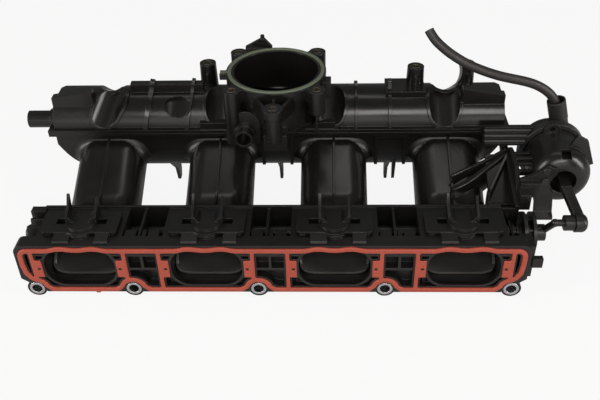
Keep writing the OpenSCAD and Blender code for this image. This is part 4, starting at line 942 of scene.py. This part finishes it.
def growPiece(name, tree, points, values):
    # the tree's result on these points, as a plain mesh
    mesh = bpy.data.meshes.new(name)
    mesh.from_pydata(points, [], [])
    piece = newPiece(name, mesh, smooth=False)
    grow = piece.modifiers.new("grow", "NODES")
    grow.node_group = tree
    for entry in tree.interface.items_tree:
        if entry.in_out == "INPUT" and entry.name in values:
            grow[entry.identifier] = values[entry.name]
    piece.update_tag()
    piece.data = evaluated(piece)
    piece.modifiers.clear()
    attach(piece, "housing")


mounts = {mount["name"]: mount for mount in frame["record"]["mounts"]}

# threads in the inserts and rolled rims on the bolt sleeves
hardware = {
    "threadDepth": mm(9),
    "threadStart": mm(0.8),  # below the insert's top
    "threadTurns": 9.0,
    "threadWire": mm(0.24),
    "rimWire": mm(0.3),
    "sleeveWall": mm(1.45),  # from a sleeve's bore to the middle of its end face
}


def patternPoints(mount):
    # the middle of each screw in a mount's pattern
    x, y, z = mount["pos_m"]
    across, up = (mm(mount["dims"].get(key, 0)) / 2 for key in ("spacing_x_mm", "spacing_y_mm"))
    places = {(x + i * across, y + j * up, z) for i in (-1, 1) for j in (-1, 1)}
    return sorted(places)  # a set, so one screw is left where there is no spacing


def insertTops():
    # the open ends of the threaded inserts
    tops = patternPoints(mounts["throttle_screws"])
    for name in ("bracket_insert", "post_insert_1", "post_insert_2", "post_insert_3"):
        x, y, z = mounts[name]["pos_m"]
        tops.append((x, y, z + mm(mounts[name]["dims"]["length_mm"]) / 2))
    return tops


def makeThreads(look):
    deep = look["threadDepth"] + look["threadStart"]
    ends = [(x, y, z - deep) for x, y, z in insertTops()]
    growPiece("insertThreads", threadTree(), ends, {
        "Radius": mm(mounts["bracket_insert"]["dims"]["r_mm"]),
        "Wire": look["threadWire"],
        "Turns": look["threadTurns"],
        "Length": look["threadDepth"],
        "Material": materials["dullBrass"],
    })


def makeRims(look):
    bolts = ("head_bolts_inner", "head_bolt_middle", "head_bolts_end")
    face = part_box("bolt_sleeves")[0][1] + look["rimWire"]
    sleeves = [(x, face, z) for name in bolts for x, y, z in patternPoints(mounts[name])]
    growPiece("sleeveRims", rimTree(), sleeves, {
        "Radius": mm(mounts["head_bolt_middle"]["dims"]["r_mm"]) + look["sleeveWall"],
        "Wire": look["rimWire"],
        "Rotation": Euler((math.pi / 2, 0, 0)),
        "Material": materials["brightSteel"],
    })


makeThreads(hardware)
makeRims(hardware)
print("hardware: threads and rims")

# floor and surroundings
room = {
    "floorSize": 6.0,
    "floorColour": (0.7, 0.7, 0.7),
    "floorRough": 0.9,
    "worldLevel": 0.06,  # light that the surroundings give
    "floorGlow": 0.9,  # share of plain white in its look, beside its own colour and the shadow
    "glossShare": 0.1,  # of the pale background that metal and shiny plastic reflect
}


def paleView(tree, glossShare):
    # 1 for what the camera sees, the share for what a reflection or a clear piece shows, else 0
    rays = addNode(tree, "ShaderNodeLightPath", (-900, -200))
    either = addNode(tree, "ShaderNodeMath", (-700, -300), operation="MAXIMUM")
    tree.links.new(rays.outputs["Is Glossy Ray"], either.inputs[0])
    tree.links.new(rays.outputs["Is Transmission Ray"], either.inputs[1])
    part = addNode(tree, "ShaderNodeMath", (-520, -300), operation="MULTIPLY")
    part.inputs[1].default_value = glossShare
    tree.links.new(either.outputs["Value"], part.inputs[0])
    seen = addNode(tree, "ShaderNodeMath", (-360, -200), operation="MAXIMUM")
    tree.links.new(rays.outputs["Is Camera Ray"], seen.inputs[0])
    tree.links.new(part.outputs["Value"], seen.inputs[1])
    return seen.outputs["Value"]


def makeFloor(look):
    bpy.ops.mesh.primitive_plane_add(size=look["floorSize"], location=(0, 0, cadBox[0][2]))
    floor = bpy.context.object
    floor.name = "floor"
    paper = bpy.data.materials.new("floorPaper")
    paper.use_nodes = True
    tree = paper.node_tree
    shader = tree.nodes["Principled BSDF"]
    shader.inputs["Base Color"].default_value = (*look["floorColour"], 1)
    shader.inputs["Roughness"].default_value = look["floorRough"]
    glow = addNode(tree, "ShaderNodeEmission", (0, -200))
    glow.inputs["Color"].default_value = (1, 1, 1, 1)
    share = addNode(tree, "ShaderNodeMath", (-200, -200), operation="MULTIPLY")
    share.inputs[1].default_value = look["floorGlow"]
    tree.links.new(paleView(tree, look["glossShare"]), share.inputs[0])
    both = addNode(tree, "ShaderNodeMixShader", (300, 0))
    tree.links.new(share.outputs["Value"], both.inputs["Fac"])
    tree.links.new(shader.outputs["BSDF"], both.inputs[1])
    tree.links.new(glow.outputs["Emission"], both.inputs[2])
    tree.links.new(both.outputs["Shader"], tree.nodes["Material Output"].inputs["Surface"])
    floor.data.materials.append(paper)


def makeWorld(look):
    world = bpy.data.worlds.new("room")
    world.use_nodes = True
    scene.world = world
    tree = world.node_tree
    back = tree.nodes["Background"]
    back.inputs["Color"].default_value = (1, 1, 1, 1)
    level = addNode(tree, "ShaderNodeMapRange", (-300, 0))
    level.inputs["To Min"].default_value = look["worldLevel"]
    level.inputs["To Max"].default_value = 1.0
    tree.links.new(paleView(tree, look["glossShare"]), level.inputs["Value"])
    tree.links.new(level.outputs["Result"], back.inputs["Strength"])


lampColour = (1.0, 0.955, 0.93)
# places and sizes in metres, power in watts
softboxes = {
    "above": {"place": (0.1, 0.3, 1.3), "aim": (0, 0.1, 0), "size": (1.2, 0.2), "power": 1.3},
    "left": {"place": (-1.15, -0.35, 0.5), "aim": (0, 0.05, 0), "size": (0.3, 0.9), "power": 9},
    "right": {"place": (1.15, -0.45, 0.5), "aim": (0, 0.05, 0), "size": (0.3, 0.9), "power": 8},
    "front": {"place": (0.1, -1.1, 0.9), "aim": (0, 0.03, 0.02), "size": (1.0, 0.4), "power": 8},
    "low": {"place": (0, -1.3, 0.3), "aim": (0, 0.03, 0), "size": (1.6, 0.5), "power": 3.2},
}


def makeLights(boxes, colour):
    for name, look in boxes.items():
        lamp = bpy.data.lights.new(name, "AREA")
        lamp.shape = "RECTANGLE"
        lamp.size, lamp.size_y = look["size"]
        lamp.energy = look["power"]
        lamp.color = colour
        box = bpy.data.objects.new(name, lamp)
        scene.collection.objects.link(box)
        box.location = look["place"]
        heading = Vector(look["aim"]) - box.location
        box.rotation_euler = heading.to_track_quat("-Z", "Y").to_euler()


makeFloor(room)
makeWorld(room)
makeLights(softboxes, lampColour)
scene.view_settings.view_transform = "Standard"
print("room: lit")
